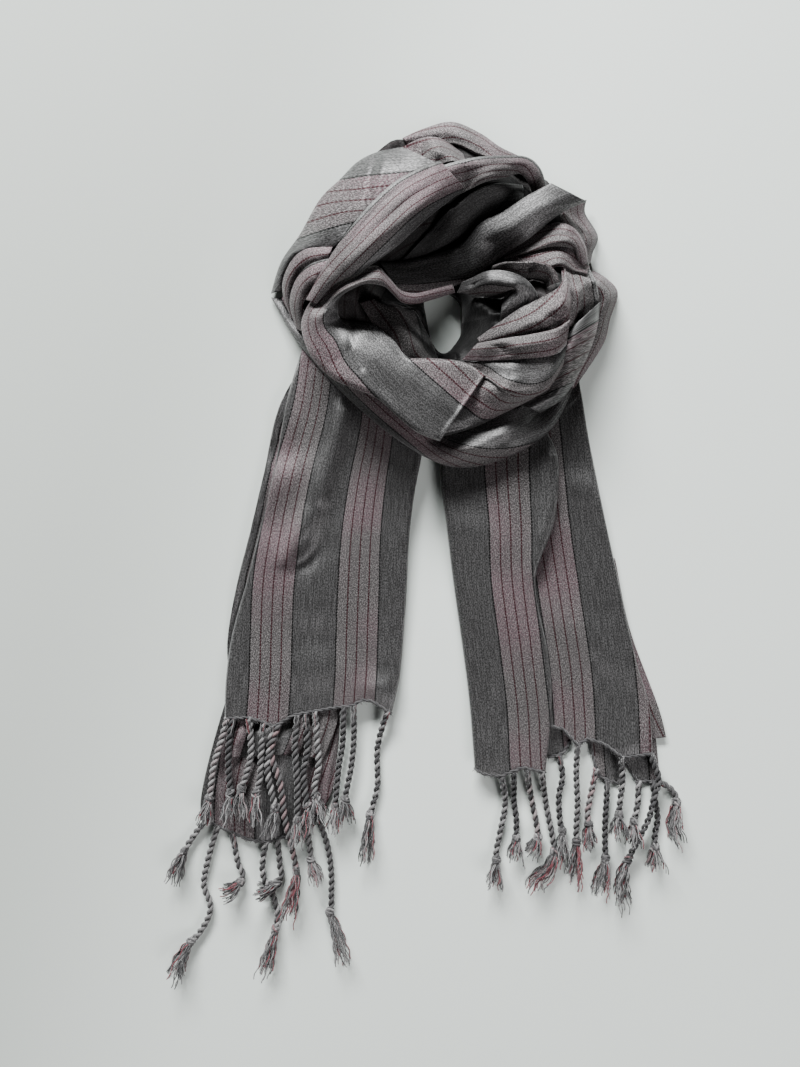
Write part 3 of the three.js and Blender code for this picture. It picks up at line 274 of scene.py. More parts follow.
# Layers of the ends, with the same columns. A crease is x, y of its two ends, its lift and its
# width, and a hem is the line of points that the last row is moved on to.
PANELS = [
    {"name": "left_end_front", "turnOuter": 3, "turnInner": 3, "rows": [
        [-78, 148, 9, 20, 88, 9, 2, -16, 118],
        [-90, 107, 10, 17, 62, 10, 2, -23, 116],
        [-100, 53, 10, 11, 30, 10, 2, -17, 112],
        [-112, 2, 10, 7, -5, 10, 2, -18, 109],
        [-122, -37, 9, 5, -45, 9, 2, -21, 107],
        [-134, -81, 8, 2, -88, 8, 1, -31, 105],
        [-139, -117, 9, -1, -118, 9, 0, -35, 103],
        [-140, -147, 9, -7, -144, 9, 0, -34, 98],
    ], "creases": [
        [-44, 98, -66, 30, 5, 9], [-73, 16, -92, -20, 4, 8], [-56, 4, -80, -24, -1.0, 7],
    ], "hem": [
        [-141, -148], [-121, -147], [-100, -154], [-85, -145], [-52, -139], [-39, -138], [-30, -133],
        [-22, -134], [-7, -144],
    ]},
    {"name": "left_end_middle", "ripple": 4.0, "turnOuter": 0, "turnInner": 0, "rows": [
        [-126, -116, 3.3, -46, -116, 3.3, 0, -62, 16],
        [-130, -150, 5, -50, -150, 5, 1, -62, 16],
        [-138, -179, 5, -62, -178, 5, 1, -62, 16],
    ], "hem": [
        [-138, -179], [-110, -179], [-84, -176], [-62, -181],
    ]},
    {"name": "left_end_back", "ripple": 2.6, "turnOuter": 0, "turnInner": 0, "rows": [
        [-134, -116, 1, -46, -116, 1, 0, -20, 66],
        [-150, -170, 2, -50, -175, 2, 1, -24, 74],
        [-159, -210, 3, -54, -205, 3, 1, -28, 80],
        [-159, -228, 2, -64, -224, 2, 1, -28, 70],
    ], "hem": [
        [-159, -228], [-123, -244], [-107, -247], [-88, -241], [-64, -224],
    ]},
    {"name": "right_end_left_panel", "turnOuter": 5, "turnInner": 3, "rows": [
        [38, 72, 11, 112, 90, 11, 2, -50, 24],
        [32, 50, 12, 126, 60, 12, 2, -50, 38],
        [37, 9, 12, 123, 9, 12, 2, -50, 34],
        [43, -40, 12, 108, -38, 12, 2, -47, 18],
        [51, -96, 12, 118, -96, 12, 1, -46, 21],
        [56, -137, 12, 121, -137, 12, 0, -46, 19],
        [60, -188, 11, 116, -190, 11, 0, -45, 11],
    ], "creases": [
        [122, 60, 112, -30, 4, 8],
    ], "hem": [
        [60, -188], [66, -192], [80, -194], [98, -187], [116, -191],
    ]},
    {"name": "right_end_right_panel", "turnOuter": 0, "turnInner": 2, "rows": [
        [112, 116, 7, 144, 124, 7, 1, 4, 36],
        [108, 75, 7, 150, 80, 7, 1, -4, 38],
        [104, 9, 7, 163, 15, 7, 1, -15, 44],
        [98, -40, 7, 175, -40, 7, 1, -28, 49],
        [104, -96, 7, 188, -100, 7.5, 0, -31, 53],
        [108, -137, 7, 199, -137, 7.5, 0, -31, 60],
        [112, -152, 7, 202, -174, 7.5, 0, -28, 62],
    ], "hem": [
        [112, -152], [130, -156], [142, -169], [150, -164], [163, -168], [178, -179], [202, -176],
    ]},
    {"name": "right_end_side", "turnOuter": 0, "turnInner": 0, "rows": [
        [160, -20, 3.4, 172, -20, 3.4, 0, 52, 62],
        [168, -77, 3.4, 184, -77, 3.4, 0, 50, 64],
        [182, -137, 3.4, 206, -137, 3.4, 0, 44, 66],
        [194, -165, 3.4, 213, -163, 3.4, 0, 44, 62],
    ]},
    {"name": "right_end_back", "turnOuter": 0, "turnInner": 0, "rows": [
        [110, -118, 1, 192, -118, 1, 0, -30, 52],
        [114, -140, 1, 202, -145, 1, 0, -30, 58],
        [118, -178, 1, 208, -198, 1, 0, -30, 60],
    ], "hem": [
        [118, -179], [130, -176], [138, -163], [151, -164], [158, -194], [175, -200], [180, -184],
        [190, -198], [208, -198],
    ]},
]

# Hidden layers of the ends: x, y, z of the two upper edges, mm.
STACKS = [
    {"name": "left_end_layers", "rows": [
        [-74, 140, 8, 12, 92, 8],
        [-96, 100, 8, 13, 58, 8],
        [-107, 50, 8, 7, 30, 8],
        [-119, 0, 8, 3, -5, 8],
        [-129, -40, 7, 1, -45, 7],
        [-137, -81, 6, -2, -88, 6],
        [-137, -103, 5, -4, -104, 5],
    ]},
    {"name": "right_end_layers", "rows": [
        [46, 78, 9, 102, 94, 9],
        [36, 48, 10, 98, 56, 10],
        [41, 9, 10, 94, 9, 10],
        [47, -40, 10, 88, -38, 10],
        [55, -96, 10, 94, -96, 10],
        [59, -137, 10, 98, -137, 10],
        [63, -184, 9, 104, -184, 9],
    ]},
    {"name": "right_end_side_layers", "rows": [
        [108, 108, 5, 140, 116, 5],
        [106, 75, 5, 147, 80, 5],
        [104, 9, 5, 160, 15, 5],
        [96, -40, 5, 158, -40, 5],
        [102, -96, 5, 164, -98, 5],
        [104, -106, 5, 168, -107, 5],
    ]},
]

# Cords: where each leaves its hem, the points that it runs through, and at which of them its knot is.
FRINGES = [
    {"name": "fringe_left_front", "hem": "left_end_front", "cords": [
        {"rootX": -10, "knot": 4, "points": [
            [-18, -170, 3], [-18, -200, 3], [-22, -218, 3],
            [-24, -226, 4], [-26, -245, 4], [-28, -266, 4]]},
        {"rootX": -45, "knot": 4, "points": [
            [-46, -168, 6], [-49, -186, 6], [-51, -208, 6],
            [-52, -220, 6], [-52, -238, 6]]},
        {"rootX": -37, "knot": 4, "points": [
            [-37, -164, 6], [-39, -186, 6], [-43, -206, 6],
            [-44, -214, 6], [-43, -232, 6]]},
        {"rootX": -82, "knot": 4, "points": [
            [-84, -170, 9], [-82, -200, 9], [-82, -222, 9],
            [-82, -230, 9], [-82, -250, 8]]},
        {"rootX": -97, "knot": 5, "points": [
            [-103, -175, 9], [-96, -200, 9], [-92, -229, 8], [-87, -250, 7],
            [-83, -271, 6], [-86, -289, 5], [-91, -311, 4]]},
        {"rootX": -109, "knot": 3, "points": [
            [-111, -175, 9], [-112, -196, 9],
            [-115, -209, 9], [-114, -232, 9]]},
        {"rootX": -121, "knot": 3, "points": [
            [-119, -173, 9], [-123, -193, 8],
            [-127, -206, 7], [-125, -228, 8]]},
        {"rootX": -134, "knot": 3, "points": [
            [-137, -172, 8], [-137, -192, 7],
            [-136, -210, 7], [-138, -232, 8]]},
        {"rootX": -138, "knot": 4, "points": [
            [-143, -166, 8], [-149, -186, 8], [-151, -202, 7],
            [-153, -214, 7], [-158, -233, 8]]},
        {"rootX": -103, "knot": 4, "points": [
            [-104, -170, 9], [-106, -188, 9], [-103, -206, 9],
            [-100, -222, 9], [-104, -242, 9]]},
        {"rootX": -76, "knot": 4, "points": [
            [-74, -170, 8], [-77, -190, 8], [-76, -206, 8],
            [-74, -220, 8], [-75, -240, 8]]},
        {"rootX": -68, "knot": 4, "points": [
            [-66, -168, 8], [-65, -186, 8], [-68, -200, 8],
            [-67, -212, 8], [-63, -230, 8]]},
    ]},
    {"name": "fringe_left_back", "hem": "left_end_back", "cords": [
        {"rootX": -156, "knot": 2, "points": [
            [-166, -243, 3], [-173, -255, 4],
            [-178, -266, 4], [-182, -279, 4]]},
        {"rootX": -146, "knot": 6, "points": [
            [-154, -262, 3], [-157, -281, 3], [-152, -295, 3], [-153, -306, 3],
            [-161, -320, 3], [-168, -327, 4], [-176, -341, 4], [-181, -357, 4]]},
        {"rootX": -134, "knot": 3, "points": [
            [-130, -262, 3], [-126, -272, 3], [-128, -279, 4],
            [-136, -285, 4], [-144, -286, 4]]},
        {"rootX": -107, "knot": 5, "points": [
            [-110, -262, 3], [-109, -276, 3], [-102, -289, 3], [-98, -304, 3],
            [-100, -318, 4], [-104, -333, 4], [-110, -356, 4]]},
        {"rootX": -75, "knot": 2, "points": [
            [-72, -252, 3], [-71, -262, 4],
            [-68, -270, 4], [-65, -280, 4]]},
        {"rootX": -66, "knot": 5, "points": [
            [-58, -250, 3], [-55, -272, 3], [-55, -289, 3], [-55, -297, 3],
            [-56, -304, 4], [-51, -321, 4], [-45, -348, 4]]},
        {"rootX": -98, "knot": 3, "points": [
            [-96, -266, 3], [-95, -273, 3], [-99, -280, 3],
            [-107, -285, 4], [-116, -288, 4]]},
    ]},
    {"name": "fringe_right_left", "hem": "right_end_left_panel", "cords": [
        {"rootX": 80, "knot": 4, "points": [
            [84, -216, 3], [80, -239, 3], [77, -254, 3],
            [77, -263, 4], [74, -283, 4]]},
        {"rootX": 90, "knot": 4, "points": [
            [91, -212, 3], [93, -228, 3], [93, -238, 3],
            [93, -245, 4], [91, -262, 4]]},
        {"rootX": 100, "knot": 4, "points": [
            [105, -212, 3], [108, -226, 3], [110, -238, 3],
            [110, -244, 4], [104, -258, 4]]},
        {"rootX": 112, "knot": 4, "points": [
            [116, -212, 3], [119, -228, 3], [122, -243, 3], [123, -256, 4],
            [118, -269, 4], [110, -276, 4], [106, -286, 4]]},
    ]},
    {"name": "fringe_right_front", "hem": "right_end_right_panel", "cords": [
        {"rootX": 142, "knot": 5, "points": [
            [141, -191, 6], [142, -216, 5], [141, -234, 4],
            [141, -242, 4], [141, -248, 4], [138, -283, 4]]},
        {"rootX": 176, "knot": 3, "points": [
            [178, -197, 6], [176, -214, 5],
            [175, -226, 4], [174, -244, 4]]},
        {"rootX": 200, "knot": 5, "points": [
            [207, -196, 7], [203, -212, 9], [199, -228, 9], [190, -246, 9],
            [182, -262, 6], [178, -280, 4], [180, -300, 4]]},
    ]},
    {"name": "fringe_right_back", "hem": "right_end_back", "cords": [
        {"rootX": 127, "knot": 4, "points": [
            [130, -194, 3], [127, -210, 3], [128, -230, 3],
            [130, -240, 4], [130, -268, 4]]},
        {"rootX": 157, "knot": 3, "points": [
            [152, -212, 3], [150, -224, 3],
            [151, -234, 4], [152, -254, 4]]},
        {"rootX": 166, "knot": 4, "points": [
            [165, -216, 3], [164, -231, 3], [164, -250, 3],
            [164, -262, 4], [157, -291, 4]]},
        {"rootX": 191, "knot": 3, "points": [
            [190, -216, 3], [188, -226, 3],
            [187, -232, 4], [188, -250, 4]]},
        {"rootX": 202, "knot": 4, "points": [
            [204, -214, 3], [206, -228, 3], [204, -240, 3],
            [204, -252, 4], [204, -268, 4]]},
        {"rootX": 207, "knot": 3, "points": [
            [215, -203, 3], [220, -209, 3], [221, -216, 4],
            [219, -232, 4], [224, -249, 4]]},
    ]},
]

# Creases read from the photo: lift in mm, width in mm, and the pixels that each runs through.
CREASES = {
    "front_inner_band": [
        (7.5, 16, [(304, 330), (322, 372), (366, 408), (430, 442)]),
        (-3.0, 12, [(365, 325), (395, 350), (430, 380)]),
        (-1.8, 3, [(351, 300), (350, 325), (352, 350), (362, 368)]),
        (1.6, 2.5, [(440, 439), (462, 409), (485, 376)]),
        (1.0, 6, [(385, 345), (415, 375), (450, 410)]),
    ],
    "front_right_side": [
        (1.4, 3, [(470, 405), (492, 412), (515, 402)]),
        (-1.6, 4, [(455, 428), (485, 424), (515, 408)]),
    ],
    "front_upper_face": [
        (1.8, 3, [(468, 366), (487, 374), (497, 386), (512, 393), (540, 391)]),
        (-1.5, 5, [(480, 358), (510, 372), (545, 372)]),
    ],
    "right_inner_band": [(1.2, 3, [(482, 352), (515, 347), (555, 340)])],
    "upper_band": [
        (-3.2, 3, [(330, 268), (345, 248), (362, 226), (385, 200), (405, 185), (430, 170)]),
        (1.6, 5, [(345, 265), (400, 222), (440, 190)]),
        (-1.3, 2.5, [(352, 252), (375, 228), (410, 198), (440, 179)]),
    ],
    "upper_arm": [
        (-1.6, 2.5, [(448, 176), (475, 168), (500, 164), (525, 167)]),
        (1.2, 2.5, [(450, 186), (480, 176), (510, 173)]),
        (-2.0, 3, [(440, 170), (452, 178), (463, 191)]),
    ],
    "left_outer_face": [
        (-2.4, 3, [(376, 156), (370, 185), (369, 214)]),
        (1.8, 5, [(384, 160), (379, 180), (378, 195)]),
        (2.0, 7, [(392, 152), (410, 158), (425, 168)]),
        (-1.6, 6, [(300, 262), (325, 240), (352, 228)]),
        (1.6, 6, [(292, 270), (310, 245), (335, 232)]),
        (-1.4, 4, [(282, 285), (300, 262), (312, 252)]),
    ],
    "back_band": [
        (1.5, 3, [(450, 126), (475, 138), (500, 152)]),
        (-1.5, 3, [(440, 132), (470, 146), (492, 158)]),
    ],
    "back_fold": [
        (-2.5, 3, [(425, 142), (424, 158), (432, 165)]),
        (2.0, 4, [(434, 148), (445, 158), (455, 163)]),
    ],
    "throat_band": [
        (-1.2, 4, [(452, 226), (458, 242), (464, 258)]),
        (1.4, 6, [(500, 232), (540, 208), (575, 194)]),
    ],
    "right_flap": [
        (-2.4, 3.5, [(572, 212), (580, 228), (584, 246)]),
        (2.0, 4, [(582, 208), (590, 226), (590, 244)]),
    ],
    "right_outer_band": [
        (2.2, 4, [(600, 282), (607, 300), (606, 330)]),
        (-2.0, 4, [(597, 292), (600, 320), (596, 350)]),
    ],
    "right_folds": [
        (2.2, 3, [(566, 272), (569, 296), (570, 318)]),
        (-3.2, 3, [(573, 274), (576, 296), (577, 316)]),
        (2.2, 3, [(580, 272), (584, 292), (586, 312)]),
        (-3.2, 3, [(587, 275), (592, 292), (594, 306)]),
    ],
    "right_lower_band": [
        (2.0, 4, [(572, 328), (564, 360), (545, 392)]),
        (-1.2, 5, [(585, 335), (575, 368), (560, 392)]),
    ],
    "right_inner_fold": [
        (1.6, 3, [(560, 275), (562, 300), (552, 318)]),
        (-1.4, 3, [(515, 328), (540, 312), (553, 292)]),
    ],
    "right_upper_fold": [
        (-1.8, 3, [(515, 244), (545, 232), (575, 236)]),
        (1.4, 3, [(520, 238), (548, 227), (572, 230)]),
    ],
    "front_outer_band": [
        (1.5, 3, [(318, 352), (360, 396), (400, 428), (450, 450), (500, 447)]),
        (-1.6, 3, [(330, 372), (380, 418), (430, 448), (480, 456)]),
        (1.6, 7, [(500, 432), (540, 418), (570, 388)]),
        (-1.3, 4, [(470, 436), (510, 442), (550, 420)]),
    ],
    "left_fold_inner": [(1.5, 3, [(300, 288), (312, 268), (330, 258)])],
    "left_end_middle": [
        (2.4, 5, [(226, 742), (262, 736), (300, 744)]),
        (-2.4, 4, [(222, 728), (262, 722), (318, 724)]),
        (2.4, 5, [(292, 712), (322, 738)]),
        (-2.0, 4, [(245, 756), (280, 762), (306, 752)]),
    ],
    "left_end_back": [
        (2.2, 5, [(214, 768), (226, 812)]),
        (-2.0, 4, [(232, 765), (242, 832)]),
        (2.4, 5, [(255, 772), (262, 838)]),
        (-2.0, 5, [(282, 768), (276, 838)]),
        (2.4, 5, [(304, 768), (292, 826)]),
    ],
    "left_end_front": [
        (-3.9, 14, [(250, 440), (275, 450), (305, 446)]),
        (3.3, 14, [(254, 486), (278, 484), (300, 470)]),
        (-3.0, 12, [(254, 530), (272, 524), (290, 500)]),
        (2.4, 8, [(345, 412), (330, 450), (318, 495), (300, 532), (282, 562)]),
        (-2.6, 11, [(352, 450), (340, 500), (326, 545), (304, 576)]),
        (2.6, 6, [(314, 516), (307, 532), (300, 545)]),
        (-3.0, 8, [(292, 568), (306, 561), (320, 548)]),
        (-2.4, 12, [(240, 580), (236, 620), (234, 660)]),
        (2.4, 14, [(290, 676), (318, 668), (340, 672)]),
        (-2.1, 12, [(295, 632), (330, 640)]),
        (2.7, 12, [(364, 694), (390, 690)]),
        (-2.1, 12, [(362, 660), (392, 668)]),
        (-2.1, 12, [(370, 440), (400, 470), (398, 520)]),
    ],
    "right_end_left_panel": [
        (3.6, 16, [(446, 520), (470, 530), (490, 545)]),
        (-4.5, 14, [(448, 592), (468, 650), (488, 735)]),
        (2.7, 16, [(500, 602), (530, 640), (540, 690)]),
        (3.0, 4, [(556, 488), (545, 530), (539, 566)]),
        (-3.0, 5, [(552, 560), (545, 612), (552, 668)]),
        (-1.4, 8, [(496, 700), (530, 720)]),
    ],
    "right_end_right_panel": [
        (3.9, 14, [(562, 480), (584, 490), (602, 510)]),
        (-3.9, 14, [(560, 552), (588, 596), (614, 640)]),
        (3.0, 13, [(552, 616), (580, 640)]),
        (-3.0, 14, [(596, 668), (632, 704)]),
        (2.7, 10, [(612, 742), (640, 732)]),
        (-2.4, 10, [(575, 690), (590, 730)]),
        (1.2, 2.5, [(650, 690), (651, 745)]),
    ],
}


def placed(x, y, z):
    """True place of a plan position at height z, in the part's own frame."""
    share = 1.0 - z / SIGHT_HEIGHT
    return x * share - CENTRE[0], y * share - CENTRE[1], z


def plan_of(px, py):
    """The plan position that a pixel of the photo shows, mm."""
    return (px - PHOTO_SIZE[0] / 2) * PIXEL, (PHOTO_SIZE[1] / 2 - py) * PIXEL


def rows_at(rows, places):
    """The rows of a table on smooth curves, at the given places."""
    rows = np.asarray(rows, float)
    index = np.minimum(places.astype(int), len(rows) - 2)
    share = (places - index)[:, None]
    before, start, end, after = (rows[np.clip(index + k, 0, len(rows) - 1)] for k in (-1, 0, 1, 2))
    a = 2 * start
    b = end - before
    c = 2 * before - 5 * start + 4 * end - after
    d = -before + 3 * start - 3 * end + after
    return 0.5 * (a + b * share + c * share**2 + d * share**3)


def smooth(rows, steps):
    """The rows of a table on smooth curves, with a number of steps from each row to the next."""
    return rows_at(rows, np.linspace(0, len(rows) - 1, (len(rows) - 1) * steps + 1))


def fall_at(distance, turn):
    """How far a folded edge has rounded down at a distance from it."""
    turn = np.maximum(turn, 1e-6)
    share = np.clip(1 - distance / turn, 0, 1)
    return turn * (1 - np.sqrt(1 - share**2))


def off_run(x, y, start, end):
    """Share of a straight run at which each place lies beside it, and how far off it."""
    (ax, ay), (bx, by) = start, end
    along = ((x - ax) * (bx - ax) + (y - ay) * (by - ay)) / math.dist(start, end) ** 2
    along = np.clip(along, 0, 1)
    return along, np.hypot(x - ax - along * (bx - ax), y - ay - along * (by - ay))


def crease_height(creases, x, y):
    """Height that the creases read from the photo add. Each fades out towards its two ends."""
    height = np.zeros_like(x)
    for lift, width, pixels in creases:
        nearest = np.full_like(x, np.inf)
        fade = np.ones_like(x)
        line = [plan_of(*pixel) for pixel in pixels]
        total = sum(math.dist(a, b) for a, b in zip(line, line[1:]))
        done = 0.0
        for start, end in zip(line, line[1:]):
            run = math.dist(start, end)
            along, off = off_run(x, y, start, end)
            place = (done + along * run) / total
            closer = off < nearest
            nearest = np.where(closer, off, nearest)
            fade = np.where(closer, np.sin(np.pi * (0.12 + 0.76 * place)) ** 0.6, fade)
            done += run
        height += lift * fade * np.exp(-((nearest / width) ** 2))
    return height


RIPPLES = 7  # waves that add up to the small folds
RIPPLE_ACROSS = (9, 26)  # shortest and longest wave across the cloth, mm
RIPPLE_ALONG = (90, 260)  # shortest and longest wave along it, mm
RIPPLE_LEAN = 0.12
RIPPLE_SIZE = 0.45  # for a stretch that names none of its own
CALM_EDGE = 6  # width of a stretch's edges over which the ripples fade out, mm


def ripples(rng, u, v, size):
    """Small uneven folds that run mostly along the cloth. The lengths u and v are in mm."""
    height = np.zeros_like(u)
    for _ in range(RIPPLES):
        across = rng.uniform(*RIPPLE_ACROSS)
        along = rng.uniform(*RIPPLE_ALONG)
        lean = rng.uniform(-RIPPLE_LEAN, RIPPLE_LEAN)
        phase = rng.uniform(0, 6.28, 3)
        bend = 1.6 * np.sin(2 * np.pi * u / along + phase[1])
        wave = np.sin(2 * np.pi * (v + lean * u) / across + phase[0] + bend)
        strength = 0.5 + 0.5 * np.sin(2 * np.pi * u / (along * 0.7) + phase[2] + v / 17)
        height += wave * strength * across / 18
    return size * height / 3


def doubled(grid, axis):
    """The grid with a point added midway between each two along one axis."""
    grid = np.moveaxis(grid, axis, 0)
    wide = np.empty((2 * len(grid) - 1, *grid.shape[1:]))
    wide[::2] = grid
    wide[1::2] = 0.5 * (grid[:-1] + grid[1:])
    return np.moveaxis(wide, 0, axis)


class HeightMap:
    """The lowest cloth over each cell, which what lies beneath stays under. Lengths in mm."""

    low = (-235.0, -385.0)  # corner of the first cell
    shape = (310, 510)  # cells
    open_sky = 500.0  # height where there is no cloth
    drop = 4.0  # step between two cells that isn't mixed

    def __init__(self):
        self.lowest = np.full(self.shape, self.open_sky)
        self.ceiling = self.lowest.copy()

    def add(self, grid):
        dense = doubled(doubled(grid, 0), 1)
        cells = [((dense[..., k] - self.low[k]) / CELL).astype(int) for k in (0, 1)]
        column, row = (np.clip(cell, 0, size - 1).ravel() for cell, size in zip(cells, self.shape))
        np.minimum.at(self.lowest, (column, row), dense[..., 2].ravel())
        field = self.lowest.copy()
        for _ in range(REACH_STEPS):
            best = field.copy()
            for dx in (-1, 0, 1):
                for dy in (-1, 0, 1):
                    rise = REACH_SLOPE * CELL * math.hypot(dx, dy)
                    best = np.minimum(best, np.roll(field, (dx, dy), (0, 1)) + rise)
            field = best
        self.ceiling = field

    def at(self, x, y):
        """The ceiling over a place, mixed from four cells, or the lowest of them beside a drop."""
        fx = np.clip((x - self.low[0]) / CELL - 0.5, 0, self.shape[0] - 1.001)
        fy = np.clip((y - self.low[1]) / CELL - 0.5, 0, self.shape[1] - 1.001)
        i, j = fx.astype(int), fy.astype(int)
        a, b = fx - i, fy - j
        c = self.ceiling
        near = (1 - b) * c[i, j] + b * c[i, j + 1]
        far = (1 - b) * c[i + 1, j] + b * c[i + 1, j + 1]
        mixed = (1 - a) * near + a * far
        least = np.minimum.reduce([c[i, j], c[i, j + 1], c[i + 1, j], c[i + 1, j + 1]])
        return np.where(mixed - least > self.drop, least, mixed)


heights = HeightMap()


def pressed(z, ceiling):
    """The heights pushed under a ceiling, with the push eased out over the cloth around it."""
    push = np.maximum(z - ceiling, 0)
    spread = push.copy()
    for _ in range(PRESS_STEPS):
        wide = np.pad(spread, 1, "edge")
        beside = wide[:-2, 1:-1] + wide[2:, 1:-1] + wide[1:-1, :-2] + wide[1:-1, 2:]
        spread = np.maximum(push, 0.125 * beside + 0.5 * spread)
    return np.maximum(z - spread, FLOOR_ROOM)


def end_at_hem(piece, x, y, table, share):
    """The lengths y with the last row of an end moved on to its hem."""
    rows = piece["rows"]
    places = np.linspace(0, len(rows) - 1, len(table))
    near = np.clip(places - (len(rows) - 2), 0, 1)[:, None]
    straight = rows[-1][1] + share * (rows[-1][4] - rows[-1][1])
    hem = np.asarray(piece["hem"], float)
    return y + near * (np.interp(x, hem[:, 0], hem[:, 1]) - straight)


def cloth_grid(piece, seed):
    """The creased middle surface of a stretch in mm, with its lengths along and across the cloth."""
    table = smooth(piece["rows"], ALONG)
    even = np.linspace(0, 1, ACROSS)
    share = (0.55 * even + 0.45 * (0.5 - 0.5 * np.cos(np.pi * even)))[None, :]
    outer, inner = table[:, None, 0:3], table[:, None, 3:6]
    points = outer + share[..., None] * (inner - outer)
    length = np.linalg.norm(inner - outer, axis=2)
    distance = share * length
    x, y, z = points[..., 0], points[..., 1], points[..., 2]
    z = z + table[:, 6:7] * np.sin(np.pi * share)
    z = z - fall_at(distance, np.minimum(piece["turnOuter"], length / 3))
    z = z - fall_at(length - distance, np.minimum(piece["turnInner"], length / 3))
    for x0, y0, x1, y1, lift, width in piece.get("creases", []):
        off = off_run(x, y, (x0, y0), (x1, y1))[1]
        z = z + lift * np.exp(-((off / width) ** 2))
    z = z + crease_height(CREASES.get(piece["name"], []), x, y)
    if "hem" in piece:
        y = end_at_hem(piece, x, y, table, share)
    middle_step = np.linalg.norm(np.diff(points[:, ACROSS // 2], axis=0), axis=1)
    u = np.repeat(np.concatenate([[0], np.cumsum(middle_step)])[:, None], ACROSS, 1)
    v = table[:, 7:8] + share * (table[:, 8:9] - table[:, 7:8])
    edge = np.clip(np.minimum(distance, length - distance) / CALM_EDGE, 0, 1)
    z = z + edge * ripples(np.random.default_rng(seed), u, v, piece.get("ripple", RIPPLE_SIZE))
    x, y, z = placed(x, y, z)
    z = pressed(z, heights.at(x, y) - LAYER_GAP)
    grid = np.stack([x, y, z], 2)
    heights.add(grid - [0, 0, THICKNESS / 2])
    return grid, u, v


def linked(name, data):
    """A new object of some data, in the scene."""
    obj = bpy.data.objects.new(name, data)
    bpy.context.scene.collection.objects.link(obj)
    return obj


def cloth_mesh(name, points, faces, u, v, material):
    """A smooth mesh of points in mm, with each point's lengths along and across the cloth as its UV map."""
    mesh = bpy.data.meshes.new(name)
    mesh.from_pydata((points.reshape(-1, 3) * MM).tolist(), [], faces)
    corners = np.empty(len(mesh.loops), np.int32)
    mesh.loops.foreach_get("vertex_index", corners)
    pairs = np.stack([u.ravel() * MM, v.ravel() * MM], 1)[corners]
    layer = mesh.uv_layers.new(name="cloth")
    layer.data.foreach_set("uv", pairs.ravel().astype(np.float32))
    mesh.materials.append(material)
    mesh.shade_smooth()
    return mesh


def rings_joined(near, far):
    """Faces between rows of point numbers and the rows after them, closed round each row."""
    return np.stack([near, far, np.roll(far, -1, 1), np.roll(near, -1, 1)], 2).reshape(-1, 4).tolist()


def sheet_object(name, grid, u, v, material):
    """A thin sheet with its upper side up, whose thickness is a modifier."""
    index = np.arange(u.size).reshape(u.shape)
    faces = np.stack([index[:-1, :-1], index[1:, :-1], index[1:, 1:], index[:-1, 1:]], 2)
    mesh = cloth_mesh(name, grid, faces.reshape(-1, 4).tolist(), u, v, material)
    if sum(polygon.normal.z * polygon.area for polygon in mesh.polygons) < 0:
        mesh.flip_normals()
    obj = linked(name, mesh)
    solid = obj.modifiers.new("cloth thickness", "SOLIDIFY")
    solid.thickness = THICKNESS * MM
    solid.offset = 0
    solid.use_even_offset = False
    return obj


def declare(obj, node):
    """Sets the piece riding with the scarf, and hides its imported solid."""
    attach(obj, "root")
    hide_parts(node)


class Nodes:
    """A node tree with short calls for its nodes. A value is a number or another node's output."""

    def __init__(self, tree):
        self.tree = tree

    def put(self, value, socket):
        if isinstance(value, bpy.types.NodeSocket):
            self.tree.links.new(value, socket)
        else:
            socket.default_value = value

    def node(self, kind, values=None, **settings):
        made = self.tree.nodes.new(kind)
        for key, value in settings.items():
            setattr(made, key, value)
        for socket, value in (values or {}).items():
            self.put(value, made.inputs[socket])
        return made

    def math(self, operation, *values):
        return self.node("ShaderNodeMath", dict(enumerate(values)), operation=operation).outputs[0]


class Shader(Nodes):
    """A material and its node tree. Colours are red, green and blue."""

    def __init__(self, name, roughness, sheen=0.0):
        self.material = bpy.data.materials.new(name)
        self.material.use_nodes = True
        super().__init__(self.material.node_tree)
        self.surface = self.tree.nodes["Principled BSDF"].inputs
        self.surface["Roughness"].default_value = roughness
        self.surface["Sheen Weight"].default_value = sheen
        self.surface["Sheen Roughness"].default_value = 0.4

    def ramp(self, value, low, high, to_low=0.0, to_high=1.0):
        values = dict(enumerate((value, low, high, to_low, to_high)))
        return self.node("ShaderNodeMapRange", values, interpolation_type="SMOOTHSTEP").outputs[0]

    def mix(self, share, a, b, blend="MIX"):
        a, b = ((*colour, 1) if isinstance(colour, tuple) else colour for colour in (a, b))
        values = {0: share, 6: a, 7: b}
        return self.node("ShaderNodeMix", values, data_type="RGBA", blend_type=blend).outputs[2]

    def noise(self, vector, scale, detail=2.0, stretch=None):
        if stretch:
            vector = self.node("ShaderNodeMapping", {"Vector": vector, "Scale": stretch}).outputs[0]
        values = {"Vector": vector, "Scale": scale, "Detail": detail}
        return self.node("ShaderNodeTexNoise", values).outputs["Fac"]

    def bump(self, height, strength):
        values = {"Strength": strength, "Distance": 0.0004, "Height": height}
        self.put(self.node("ShaderNodeBump", values).outputs[0], self.surface["Normal"])


# The weave, in metres: groups of five dotted lines, each group on a band of twill
GROUP_PITCH = 0.0684
LINE_PITCH = 0.00835
LINE_EDGE = (0.00034, 0.00076)  # half a line's width, where it is full and where it ends
TWILL_EDGE = (0.0162, 0.0168)  # half a twill band's width
DOT_PITCH = 0.0024
WANDER = 0.0016  # how far the lines stray from straight

SATIN = ((0.095, 0.091, 0.093), (0.155, 0.149, 0.151))
SATIN_STREAK = (0.30, 0.291, 0.296)
TWILL = ((0.072, 0.062, 0.064), (0.150, 0.070, 0.094))
TWILL_SPECK = (0.32, 0.298, 0.300)
BETWEEN_THREADS = (0.024, 0.023, 0.023)
RED_INK = (0.034, 0.003, 0.007)
BLACK_INK = (0.002, 0.002, 0.002)


